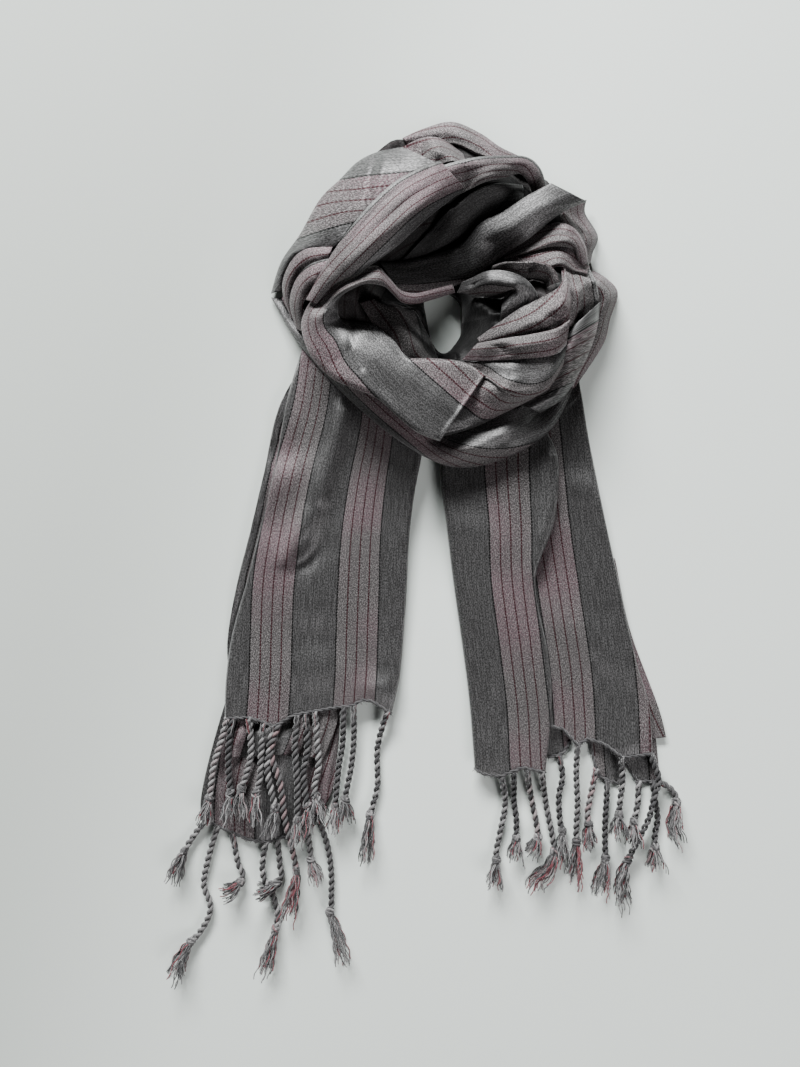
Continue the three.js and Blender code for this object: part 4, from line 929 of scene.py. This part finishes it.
def stripes(s, u, v):
    """Where the dotted lines are, where the black ones of them are, and where the twill bands are."""
    turned = s.math("ADD", s.math("DIVIDE", v, GROUP_PITCH), 0.5)
    turned = s.math("SUBTRACT", s.math("SUBTRACT", turned, s.math("FLOOR", turned)), 0.5)
    from_middle = s.math("MULTIPLY", turned, GROUP_PITCH)
    number = s.math("ROUND", s.math("DIVIDE", from_middle, LINE_PITCH))
    off = s.math("ABSOLUTE", s.math("SUBTRACT", from_middle, s.math("MULTIPLY", number, LINE_PITCH)))
    rank = s.math("ABSOLUTE", number)
    dots = s.ramp(s.math("SINE", s.math("MULTIPLY", u, 2 * math.pi / DOT_PITCH)), -0.9, 0.2, 0.5, 1.0)
    line = s.math("MULTIPLY", s.ramp(off, *LINE_EDGE, 1.0, 0.0), s.math("LESS_THAN", rank, 2.5))
    twill = s.ramp(s.math("ABSOLUTE", from_middle), *TWILL_EDGE, 1.0, 0.0)
    return s.math("MULTIPLY", line, dots), s.math("GREATER_THAN", rank, 1.5), twill


def cloth_material(name, shade=1.0):
    """Satin grey with fine dotted lines on a paler pink twill, led by the cloth's own lengths."""
    s = Shader(name, 0.5, 0.12)
    uv = s.node("ShaderNodeUVMap", uv_map="cloth").outputs[0]
    split = s.node("ShaderNodeSeparateXYZ", {0: uv})
    u, v = split.outputs[0], split.outputs[1]
    stray = s.math("SUBTRACT", s.noise(uv, 14.0, 1.0, (1, 0.2, 1)), 0.5)
    line, is_black, twill = stripes(s, u, s.math("MULTIPLY_ADD", stray, WANDER, v))
    grain = s.noise(uv, 1.0, 1.0, (700, 1500, 1))
    streak = s.noise(uv, 1.0, 3.0, (60, 1000, 1))
    speck = s.noise(uv, 1.0, 1.0, (1300, 1500, 1))
    cloud = s.noise(uv, 11.0)
    satin = s.mix(cloud, *SATIN)
    satin = s.mix(s.ramp(streak, 0.35, 0.65, 0.0, 0.6), satin, SATIN_STREAK)
    pink = s.mix(s.ramp(cloud, 0.4, 0.65), *TWILL)
    pink = s.mix(s.ramp(speck, 0.42, 0.58, 0.0, 0.85), pink, TWILL_SPECK)
    ground = s.mix(twill, satin, pink)
    ground = s.mix(s.ramp(grain, 0.40, 0.60, 0.0, 0.75), ground, BETWEEN_THREADS)
    colour = s.mix(line, ground, s.mix(is_black, RED_INK, BLACK_INK))
    # Painted shade: a shade below one darkens the whole colour, for cloth that lies in shadow.
    if shade != 1.0:
        colour = s.mix(1.0, colour, (shade, shade, shade), "MULTIPLY")
    s.put(colour, s.surface["Base Color"])
    s.put(s.ramp(twill, 0.0, 1.0, 0.7, 0.3), s.surface["Metallic"])
    s.put(s.ramp(twill, 0.0, 1.0, 0.56, 0.66), s.surface["Roughness"])
    s.bump(s.math("ADD", grain, s.math("MULTIPLY", streak, 0.8)), 0.35)
    s.surface["Specular IOR Level"].default_value = 0.25
    s.surface["Anisotropic"].default_value = 0.75
    s.surface["Anisotropic Rotation"].default_value = 0.25
    along = s.node("ShaderNodeTangent", direction_type="UV_MAP", uv_map="cloth")
    s.put(along.outputs[0], s.surface["Tangent"])
    return s.material


YARN_TONES = (
    (0.0, (0.018, 0.017, 0.019)),
    (0.45, (0.085, 0.081, 0.083)),
    (0.8, (0.30, 0.287, 0.29)),
    (0.88, (0.16, 0.018, 0.03)),
    (1.0, (0.20, 0.015, 0.03)),
)
YARN_FIBRE = (0.06, 0.055, 0.06)


def yarn_material():
    """Twisted yarn: light and dark grey with dark red strands, by each ply's own tone."""
    s = Shader("fringe_yarn", 0.8, 0.4)
    tone = s.node("ShaderNodeAttribute", attribute_name="tone").outputs["Fac"]
    ramp = s.node("ShaderNodeValToRGB", {0: tone})
    stops = ramp.color_ramp.elements
    for number, (position, colour) in enumerate(YARN_TONES):
        stop = stops[number] if number < 2 else stops.new(position)
        stop.position, stop.color = position, (*colour, 1)
    place = s.node("ShaderNodeTexCoord").outputs["Object"]
    fibres = s.noise(place, 1.0, 2.0, (900, 900, 900))
    colour = s.mix(s.ramp(fibres, 0.35, 0.65, 0.0, 0.5), ramp.outputs[0], YARN_FIBRE)
    s.put(colour, s.surface["Base Color"])
    s.bump(fibres, 0.5)
    return s.material


CLOTH = cloth_material("striped_cloth")
# A copy of the cloth darkened as painted shade, for the stretches deep in the ring's hollow.
CLOTH_PAINTED_SHADE = cloth_material("striped_cloth_deep", 0.33)
# A copy darkened further as painted shade, for the heap that shows in the ring's neck.
CLOTH_PAINTED_DARK_SHADE = cloth_material("striped_cloth_hidden", 0.14)
YARN = yarn_material()


class Tree(Nodes):
    """A geometry node tree with named inputs, which makes yarn out of splines or points."""

    def __init__(self, name, inputs):
        super().__init__(bpy.data.node_groups.new(name, "GeometryNodeTree"))
        interface = self.tree.interface
        interface.new_socket(name="Geometry", in_out="INPUT", socket_type="NodeSocketGeometry")
        self.sockets = {}
        for label, value in inputs.items():
            kind = "NodeSocketInt" if isinstance(value, int) else "NodeSocketFloat"
            self.sockets[label] = interface.new_socket(name=label, in_out="INPUT", socket_type=kind)
            self.sockets[label].default_value = value
        interface.new_socket(name="Geometry", in_out="OUTPUT", socket_type="NodeSocketGeometry")
        self.start = self.tree.nodes.new("NodeGroupInput")
        self.end = self.tree.nodes.new("NodeGroupOutput")

    def value(self, label):
        return self.start.outputs[label]

    def vector(self, operation, *values):
        return self.node("ShaderNodeVectorMath", dict(enumerate(values)), operation=operation).outputs[0]

    def scaled(self, vector, scale):
        values = {0: vector, "Scale": scale}
        return self.node("ShaderNodeVectorMath", values, operation="SCALE").outputs[0]

    def sides(self):
        """The two directions across a curve."""
        normal = self.node("GeometryNodeInputNormal").outputs[0]
        tangent = self.node("GeometryNodeInputTangent").outputs[0]
        return normal, self.vector("CROSS_PRODUCT", tangent, normal)

    def random(self, low, high, step=0):
        """A random number for each element, or three, from the tree's seed moved on by a step."""
        seed = self.math("ADD", self.value("Seed"), float(step)) if step else self.value("Seed")
        index = self.node("GeometryNodeInputIndex").outputs[0]
        kind, first, output = ("FLOAT_VECTOR", 0, 0) if isinstance(low, tuple) else ("FLOAT", 2, 1)
        values = {first: low, first + 1: high, "ID": index, "Seed": seed}
        return self.node("FunctionNodeRandomValue", values, data_type=kind).outputs[output]

    def stored(self, geometry, label, value):
        """The curves with a number for each spline, kept under a name."""
        values = {"Geometry": geometry, "Name": label, "Value": value}
        kind = "GeometryNodeStoreNamedAttribute"
        return self.node(kind, values, data_type="FLOAT", domain="CURVE").outputs[0]

    def named(self, label):
        values = {"Name": label}
        return self.node("GeometryNodeInputNamedAttribute", values, data_type="FLOAT").outputs["Attribute"]

    def copies(self, step, amount):
        """Copies of the input's splines, resampled, with their normals turned up."""
        values = {"Curve": self.value("Geometry"), "Length": step}
        curve = self.node("GeometryNodeResampleCurve", values, mode="LENGTH").outputs[0]
        turned = self.node("GeometryNodeSetCurveNormal", {"Curve": curve}, mode="Z_UP").outputs[0]
        values = {"Geometry": turned, "Amount": self.value(amount)}
        return self.node("GeometryNodeDuplicateElements", values, domain="SPLINE").outputs

    def moved(self, geometry, **values):
        values = {"Geometry": geometry, **values}
        return self.node("GeometryNodeSetPosition", values).outputs[0]

    def scattered(self, points, curve, turns, sizes, tones):
        """Copies of a curve on points, each with a turn, a size and a tone of its own."""
        values = {
            "Points": points,
            "Instance": curve,
            "Rotation": self.random(*turns),
            "Scale": self.random(*sizes, 3),
        }
        copies = self.node("GeometryNodeInstanceOnPoints", values).outputs[0]
        real = self.node("GeometryNodeRealizeInstances", {0: copies}).outputs[0]
        return self.stored(real, "tone", self.random(*tones, 7))

    def finish(self, curve, radius, corners):
        """Gives the curves their thickness and the yarn as their material."""
        values = {"Resolution": corners, "Radius": self.value(radius)}
        circle = self.node("GeometryNodeCurvePrimitiveCircle", values, mode="RADIUS").outputs[0]
        values = {"Curve": curve, "Profile Curve": circle, "Fill Caps": True}
        tube = self.node("GeometryNodeCurveToMesh", values).outputs[0]
        real = self.node("GeometryNodeRealizeInstances", {0: tube}).outputs[0]
        smooth_tube = self.node("GeometryNodeSetShadeSmooth", {0: real}).outputs[0]
        values = {"Geometry": smooth_tube, "Material": YARN}
        painted = self.node("GeometryNodeSetMaterial", values).outputs[0]
        self.put(painted, self.end.inputs[0])
        return self


CORD_STEP = 0.0008  # between two points of a ply, m
THREAD_STEP = 0.001  # between two points of a loose thread, m
LEAST_SPREAD = 0.0008  # half a tuft's width at its knot, m
THREAD_ROOM = 0.0006  # least height of a loose thread's middle, m


def twisted_tree():
    """Plies wound round each spline."""
    sizes = {"Ply radius": 0.0013, "Ply offset": 0.0014, "Pitch": 0.011, "Tone": 1.0}
    t = Tree("twisted_cord", {"Plies": 2, **sizes, "Seed": 3})
    plies = t.copies(CORD_STEP, "Plies")
    tone = t.math("MULTIPLY", t.random(0.0, 0.86), t.value("Tone"))
    curve = t.stored(plies["Geometry"], "tone", tone)
    length = t.node("GeometryNodeSplineParameter").outputs["Length"]
    angle = t.math("MULTIPLY", t.math("DIVIDE", length, t.value("Pitch")), 2 * math.pi)
    angle = t.math("MULTIPLY_ADD", plies["Duplicate Index"], math.pi, angle)
    normal, side = t.sides()
    around = t.scaled(normal, t.math("COSINE", angle)), t.scaled(side, t.math("SINE", angle))
    curve = t.moved(curve, Offset=t.scaled(t.vector("ADD", *around), t.value("Ply offset")))
    return t.finish(curve, "Ply radius", 6)


def loose_tree():
    """Crimped loose threads that fan out along each spline and end at different lengths."""
    sizes = {"Spread": 0.014, "Crimp": 0.0006, "Crimp pitch": 0.012, "Thread radius": 0.0004}
    t = Tree("loose_threads", {"Threads": 42, **sizes, "Seed": 5, "Shortest": 0.5})
    curve = t.copies(THREAD_STEP, "Threads")["Geometry"]
    curve = t.stored(curve, "tone", t.random(0.0, 1.0))
    curve = t.stored(curve, "lane", t.random(-1.0, 1.0, 11))
    curve = t.stored(curve, "rise", t.random(-1.0, 1.0, 23))
    curve = t.stored(curve, "turn", t.random(0.0, 6.28, 37))
    along = t.node("GeometryNodeSplineParameter").outputs
    angle = t.math("MULTIPLY", t.math("DIVIDE", along["Length"], t.value("Crimp pitch")), 6.283)
    angle = t.math("ADD", angle, t.named("turn"))
    wave = t.math("MULTIPLY", t.math("SINE", angle), t.value("Crimp"))
    wave_up = t.math("MULTIPLY", t.math("COSINE", angle), t.value("Crimp"))
    width = t.math("MULTIPLY", t.math("POWER", along["Factor"], 0.5), t.value("Spread"))
    width = t.math("ADD", width, LEAST_SPREAD)
    across = t.math("MULTIPLY_ADD", t.named("lane"), width, wave)
    height = t.math("MULTIPLY_ADD", t.named("rise"), t.math("MULTIPLY", width, 0.5), wave_up)
    normal, side = t.sides()
    curve = t.moved(curve, Offset=t.vector("ADD", t.scaled(side, across), t.scaled(normal, height)))
    place = t.node("ShaderNodeSeparateXYZ", {0: t.node("GeometryNodeInputPosition").outputs[0]}).outputs
    above = t.math("MAXIMUM", place[2], THREAD_ROOM)
    above = t.node("ShaderNodeCombineXYZ", {0: place[0], 1: place[1], 2: above}).outputs[0]
    curve = t.moved(curve, Position=above)
    left_out = t.math("SUBTRACT", 1.0, t.value("Shortest"))
    end = t.math("MULTIPLY_ADD", t.random(0.0, 1.0, 51), left_out, t.value("Shortest"))
    curve = t.node("GeometryNodeTrimCurve", {"Curve": curve, "End": end}, mode="FACTOR").outputs[0]
    return t.finish(curve, "Thread radius", 4)


def knot_tree():
    """A ball of small curled loops at each point."""
    sizes = {"Loop radius": 0.0029, "Thread radius": 0.0008}
    t = Tree("fringe_knot", {"Loops": 10, **sizes, "Seed": 9})
    points = t.node("GeometryNodeMeshToPoints", {"Mesh": t.value("Geometry")}).outputs[0]
    values = {"Geometry": points, "Amount": t.value("Loops")}
    points = t.node("GeometryNodeDuplicateElements", values, domain="POINT").outputs["Geometry"]
    values = {"Resolution": 12, "Radius": t.value("Loop radius")}
    loop = t.node("GeometryNodeCurvePrimitiveCircle", values, mode="RADIUS").outputs[0]
    turns = (0.0, 0.0, 0.0), (3.14, 3.14, 6.28)
    return t.finish(t.scattered(points, loop, turns, (0.55, 1.15), (0.1, 0.86)), "Thread radius", 5)


def fray_tree():
    """Short bent threads along a hem."""
    t = Tree("hem_threads", {"Gap": 0.0011, "Thread radius": 0.00022, "Seed": 13})
    values = {"Curve": t.value("Geometry"), "Length": t.value("Gap")}
    points = t.node("GeometryNodeCurveToPoints", values, mode="LENGTH").outputs[0]
    values = {
        "Resolution": 4,
        "Start": (0, 0.0012, 0),
        "Start Handle": (0.0004, -0.0004, 0.0006),
        "End Handle": (-0.0006, -0.0016, 0.0004),
        "End": (0.0002, -0.0030, 0),
    }
    thread = t.node("GeometryNodeCurvePrimitiveBezierSegment", values, mode="POSITION").outputs[0]
    turns = (-0.2, -0.8, -0.9), (0.2, 0.8, 0.9)
    return t.finish(t.scattered(points, thread, turns, (0.4, 1.25), (0.1, 0.84)), "Thread radius", 3)


TWISTED, LOOSE, KNOT, FRAY = twisted_tree(), loose_tree(), knot_tree(), fray_tree()


def splines_object(lines):
    """A curve object with one straight-sided spline for each line of points in mm."""
    data = bpy.data.curves.new("lines", "CURVE")
    data.dimensions = "3D"
    for line in lines:
        spline = data.splines.new("POLY")
        spline.points.add(len(line) - 1)
        for point, place in zip(spline.points, line):
            point.co = (*[c * MM for c in place], 1)
    return linked("lines", data)


def points_object(places):
    mesh = bpy.data.meshes.new("points")
    mesh.from_pydata([[c * MM for c in place] for place in places], [], [])
    return linked("points", mesh)


def grown(obj, tree, **settings):
    """The mesh that a tree makes from an object, which is then removed. Settings are the tree's inputs."""
    modifier = obj.modifiers.new(tree.tree.name, "NODES")
    modifier.node_group = tree.tree
    for label, value in settings.items():
        modifier[tree.sockets[label.replace("_", " ")].identifier] = value
    graph = bpy.context.evaluated_depsgraph_get()
    made = linked("yarn", bpy.data.meshes.new_from_object(obj.evaluated_get(graph)))
    bpy.data.objects.remove(obj)
    return made


def joined(name, objects):
    """One mesh object out of several, with every part's own attributes."""
    bpy.ops.object.select_all(action="DESELECT")
    for obj in objects:
        obj.select_set(True)
    bpy.context.view_layer.objects.active = objects[0]
    bpy.ops.object.join()
    objects[0].name = name
    objects[0].data.name = name
    return objects[0]


# The stretches that lie deep under the others, whose cloth is darkened as painted shade
PAINTED_SHADE_STRETCHES = ("throat_back_wall", "throat_left_wall")


def build_cloth():
    """Every stretch that shows, the uppermost first. Returns the line of points of each hem."""
    hems = {}
    for seed, piece in enumerate(STRETCHES + PANELS, 100):
        name = piece["name"]
        grid, u, v = cloth_grid(piece, seed)
        obj = sheet_object(name + "_cloth", grid, u, v, CLOTH_PAINTED_SHADE if name in PAINTED_SHADE_STRETCHES else CLOTH)
        if piece in PANELS:
            declare(obj, name)
        else:
            declare(obj, name)
        hems[name] = grid[-1]
    return hems


def core_piece(name, mesh):
    """A closed body of hidden layers, with its faces outwards, riding with the scarf."""
    obj = linked(name + "_core", mesh)
    bpy.context.view_layer.objects.active = obj
    obj.select_set(True)
    bpy.ops.object.mode_set(mode="EDIT")
    bpy.ops.mesh.select_all(action="SELECT")
    bpy.ops.mesh.normals_make_consistent(inside=False)
    bpy.ops.object.mode_set(mode="OBJECT")
    obj.select_set(False)
    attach(obj, "root")
    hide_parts(name)


# The heap under the ring: inner radius, outer radius and height at each step round its middle, mm
HEAP_MIDDLE = (34, 165)
HEAP_STEP = 30  # degrees
HEAP = [
    [14.5, 130, 48],
    [17.5, 128, 52],
    [24, 142, 44],
    [27, 155, 40],
    [26.5, 143, 44],
    [16, 128, 42],
    [12.5, 112, 38],
    [13, 72, 38],
    [17, 66, 38],
    [23, 76, 38],
    [18.5, 96, 40],
    [16, 100, 42],
    [14.5, 130, 48],
]
HEAP_TURNS = 180  # points round the heap
HEAP_RINGS = 34  # points from its inner to its outer edge
HEAP_WAY = 1.4  # length along the cloth for a degree, mm


def build_heap():
    """The hidden layers under the ring: a heap as high as its dome or the cloth over it allows."""
    places = np.linspace(0, len(HEAP) - 1, HEAP_TURNS, endpoint=False)
    inner, outer, height = (column[:, None] for column in rows_at(HEAP, places).T)
    share = np.linspace(0, 1, HEAP_RINGS)[None, :]
    degrees = (places * HEAP_STEP)[:, None]
    angle = np.radians(degrees)
    radius = inner + share * (outer - inner)
    x = HEAP_MIDDLE[0] + radius * np.cos(angle) - CENTRE[0]
    y = HEAP_MIDDLE[1] + radius * np.sin(angle) - CENTRE[1]
    dome = height * np.sin(np.pi * (0.03 + 0.94 * share)) ** 0.6
    fold = 1.6 * np.sin(9 * share * np.pi + 2.2 * np.sin(3 * angle)) * np.sin(np.pi * share)
    z = np.minimum(dome + fold, heights.at(x, y) - LAYER_GAP)
    top = np.stack([x, y, np.maximum(z, HEAP_ROOM)], 2)
    ring = np.concatenate([top, top[:, ::-1] * [1, 1, 0]], 1)
    index = np.arange(HEAP_TURNS * 2 * HEAP_RINGS).reshape(HEAP_TURNS, -1)
    u = np.repeat(degrees * HEAP_WAY, 2 * HEAP_RINGS, 1)
    v = np.concatenate([radius, radius[:, ::-1]], 1)
    faces = rings_joined(index, np.roll(index, -1, 0))
    # The heap's cloth is darkened as painted shade, for the shadow in the neck.
    core_piece("ring_layers", cloth_mesh("ring_layers", ring, faces, u, v, CLOTH_PAINTED_DARK_SHADE))


LAYERS = 4  # rounded edges that show at the side of a stack
EDGE_STEPS = 6  # steps of each rounded edge
TOP_STEPS = 40  # points across the top of a stack
STACK_STEPS = 8  # sections between two rows of a stack
PLAIN_WAY = 34  # length across the cloth midway between two groups of lines, mm


def stack_edge(x, y, z, side):
    """The side of a stack from the surface up, with a rounded edge for each layer."""
    edge = []
    for k in range(LAYERS * EDGE_STEPS + 1):
        part = k / EDGE_STEPS
        out = abs(math.sin(math.pi * part)) * (0.5 + 0.3 * math.sin(7 * part + y / 15))
        edge.append((x + side * out * z / LAYERS, y, part * z / LAYERS))
    return edge


def build_stack(stack):
    """The hidden layers of an end: a flat stack with rounded sides."""
    sections = []
    for row in smooth(stack["rows"], STACK_STEPS):
        left, right = stack_edge(*row[0:3], -1), stack_edge(*row[3:6], 1)[::-1]
        top = np.linspace(left[-1], right[0], TOP_STEPS)[1:-1]
        sections.append(np.concatenate([left, top, right]))
    points = np.array(sections)
    x, y, z = placed(points[..., 0], points[..., 1], points[..., 2])
    z = np.maximum(np.minimum(z, heights.at(x, y) - 2 * LAYER_GAP), 0)
    index = np.arange(x.size).reshape(x.shape)
    ends = [index[0].tolist(), index[-1, ::-1].tolist()]
    faces = rings_joined(index[:-1], index[1:]) + ends
    steps = np.hypot(np.diff(x, axis=1), np.diff(z, axis=1))
    way = np.concatenate([np.zeros((len(x), 1)), np.cumsum(steps, 1)], 1)
    across = PLAIN_WAY + np.where(way < way[:, -1:] / 2, way, way - way[:, -1:])
    points = np.stack([x, y, z], 2)
    core_piece(stack["name"], cloth_mesh(stack["name"], points, faces, -y, across, CLOTH))


def root_on(hem_line, x):
    """The point of a hem at a plan x."""
    line = hem_line[np.argsort(hem_line[:, 0])]
    return [np.interp(x, line[:, 0], line[:, i]) for i in range(3)]


HEM_LIFT = 0.4  # of the hem roll over the cloth's middle, mm
GATHER_STEPS = 7  # steps of a cord over which the hem's threads gather into it
HEM_ROLL = {"Ply_radius": 0.0008, "Ply_offset": 0.0006, "Tone": 0.45, "Seed": 22}
GATHER = {"Threads": 9, "Spread": 0.0035, "Crimp": 0.0002, "Shortest": 0.95}


def build_fringe(fringe, hem_line):
    """Twisted cords from the gathered threads of the hem to a knot, with a loose tuft after it."""
    cords, tufts, gathers, knots = [], [], [], []
    for cord in fringe["cords"]:
        points = [placed(*point) for point in cord["points"]]
        root = root_on(hem_line, placed(cord["rootX"], 0, points[0][2])[0])
        path = np.array([root, *points], float)
        path[:, 2] = np.maximum(path[:, 2], CORD_ROOM)
        line = smooth(path, LINE_STEPS)
        knot = cord["knot"] * LINE_STEPS
        cords.append(line[: knot + 1])
        tufts.append(line[knot:])
        gathers.append(line[GATHER_STEPS::-1])
        knots += [[x, y, max(z, KNOT_ROOM)] for x, y, z in (line[knot], line[knot - 2])]
    rolled = hem_line + [0, 0, HEM_LIFT]
    rolled[:, 2] = np.maximum(rolled[:, 2], HEM_ROOM)
    count = len(cords)
    parts = [
        grown(splines_object(cords), TWISTED, Seed=3 + count),
        grown(splines_object(tufts), LOOSE, Seed=5 + count),
        grown(splines_object([rolled]), TWISTED, **HEM_ROLL),
        grown(splines_object(gathers), LOOSE, Seed=15 + count, **GATHER),
        grown(points_object(knots), KNOT, Seed=9 + count),
        grown(splines_object([hem_line]), FRAY, Seed=13 + count),
    ]
    obj = joined(fringe["name"] + "_yarn", parts)
    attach(obj, "root")
    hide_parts(fringe["name"])


PAPER = ((0.84, 0.885, 0.85), (0.88, 0.925, 0.89))
PAPER_PAINTED_SHADE = (0.42, 0.44, 0.41)
PAPER_SIZE = 6  # m
PAPER_DROP = 0.0002  # how far the paper lies below the scarf, m


def build_floor():
    """The pale surface, a little darker towards its left as painted shade."""
    bpy.ops.mesh.primitive_plane_add(size=PAPER_SIZE, location=(0, 0, -PAPER_DROP))
    floor = bpy.context.object
    floor.name = "table_top"
    s = Shader("table_top", 0.75)
    place = s.node("ShaderNodeTexCoord").outputs["Object"]
    split = s.node("ShaderNodeSeparateXYZ", {0: place})
    # Painted shade: the colour darkens towards the left, and a little towards the ring's side.
    side = s.math("MULTIPLY_ADD", split.outputs[1], -0.35, split.outputs[0])
    paper = s.mix(s.noise(place, 3.0), *PAPER)
    paper = s.mix(s.ramp(side, -0.30, 0.0, 0.6, 0.0), paper, PAPER_PAINTED_SHADE)
    s.put(paper, s.surface["Base Color"])
    floor.data.materials.append(s.material)


WINDOW = {"place": (-0.7, 2.4, 1.33), "target": (0, 0, 0), "size": (1.8, 0.6), "power": 262}
WINDOW_COLOUR = (0.97, 1.0, 0.99)
FILL = {"place": (1.2, -1.5, 1.5), "target": (0.1, -0.2, 0), "size": (1.2, 1.0), "power": 32}
ROOM_COLOUR = (0.93, 0.97, 0.95, 1)
ROOM_STRENGTH = 0.035


def add_light(name, place, target, size, power, colour=(1, 1, 1)):
    """A rectangular light that faces a target. Metres and watts."""
    data = bpy.data.lights.new(name, "AREA")
    data.shape = "RECTANGLE"
    data.size, data.size_y = size
    data.energy = power
    data.color = colour
    obj = linked(name, data)
    obj.location = place
    obj.rotation_euler = (Vector(target) - Vector(place)).to_track_quat("-Z", "Y").to_euler()


def build_light():
    """A window beyond the ring, a weak fill from the fringe's side, and the room."""
    add_light("window", **WINDOW, colour=WINDOW_COLOUR)
    add_light("fill", **FILL)
    world = bpy.data.worlds.new("room")
    bpy.context.scene.world = world
    world.use_nodes = True
    background = world.node_tree.nodes["Background"]
    background.inputs["Color"].default_value = ROOM_COLOUR
    background.inputs["Strength"].default_value = ROOM_STRENGTH


SENSOR = 36  # mm, along the photo's longer side


def build_camera():
    """The photo's own view, straight down over the middle of its plan."""
    data = bpy.data.cameras.new("photo")
    data.sensor_width = SENSOR
    data.lens = SENSOR * SIGHT_HEIGHT / (PHOTO_SIZE[1] * PIXEL)
    obj = linked("photo", data)
    obj.location = (-CENTRE[0] * MM, -CENTRE[1] * MM, SIGHT_HEIGHT * MM)
    bpy.context.scene.camera = obj


hem_lines = build_cloth()
build_heap()
for stack in STACKS:
    build_stack(stack)
for fringe in FRINGES:
    build_fringe(fringe, hem_lines[fringe["hem"]])
build_floor()
build_light()
build_camera()
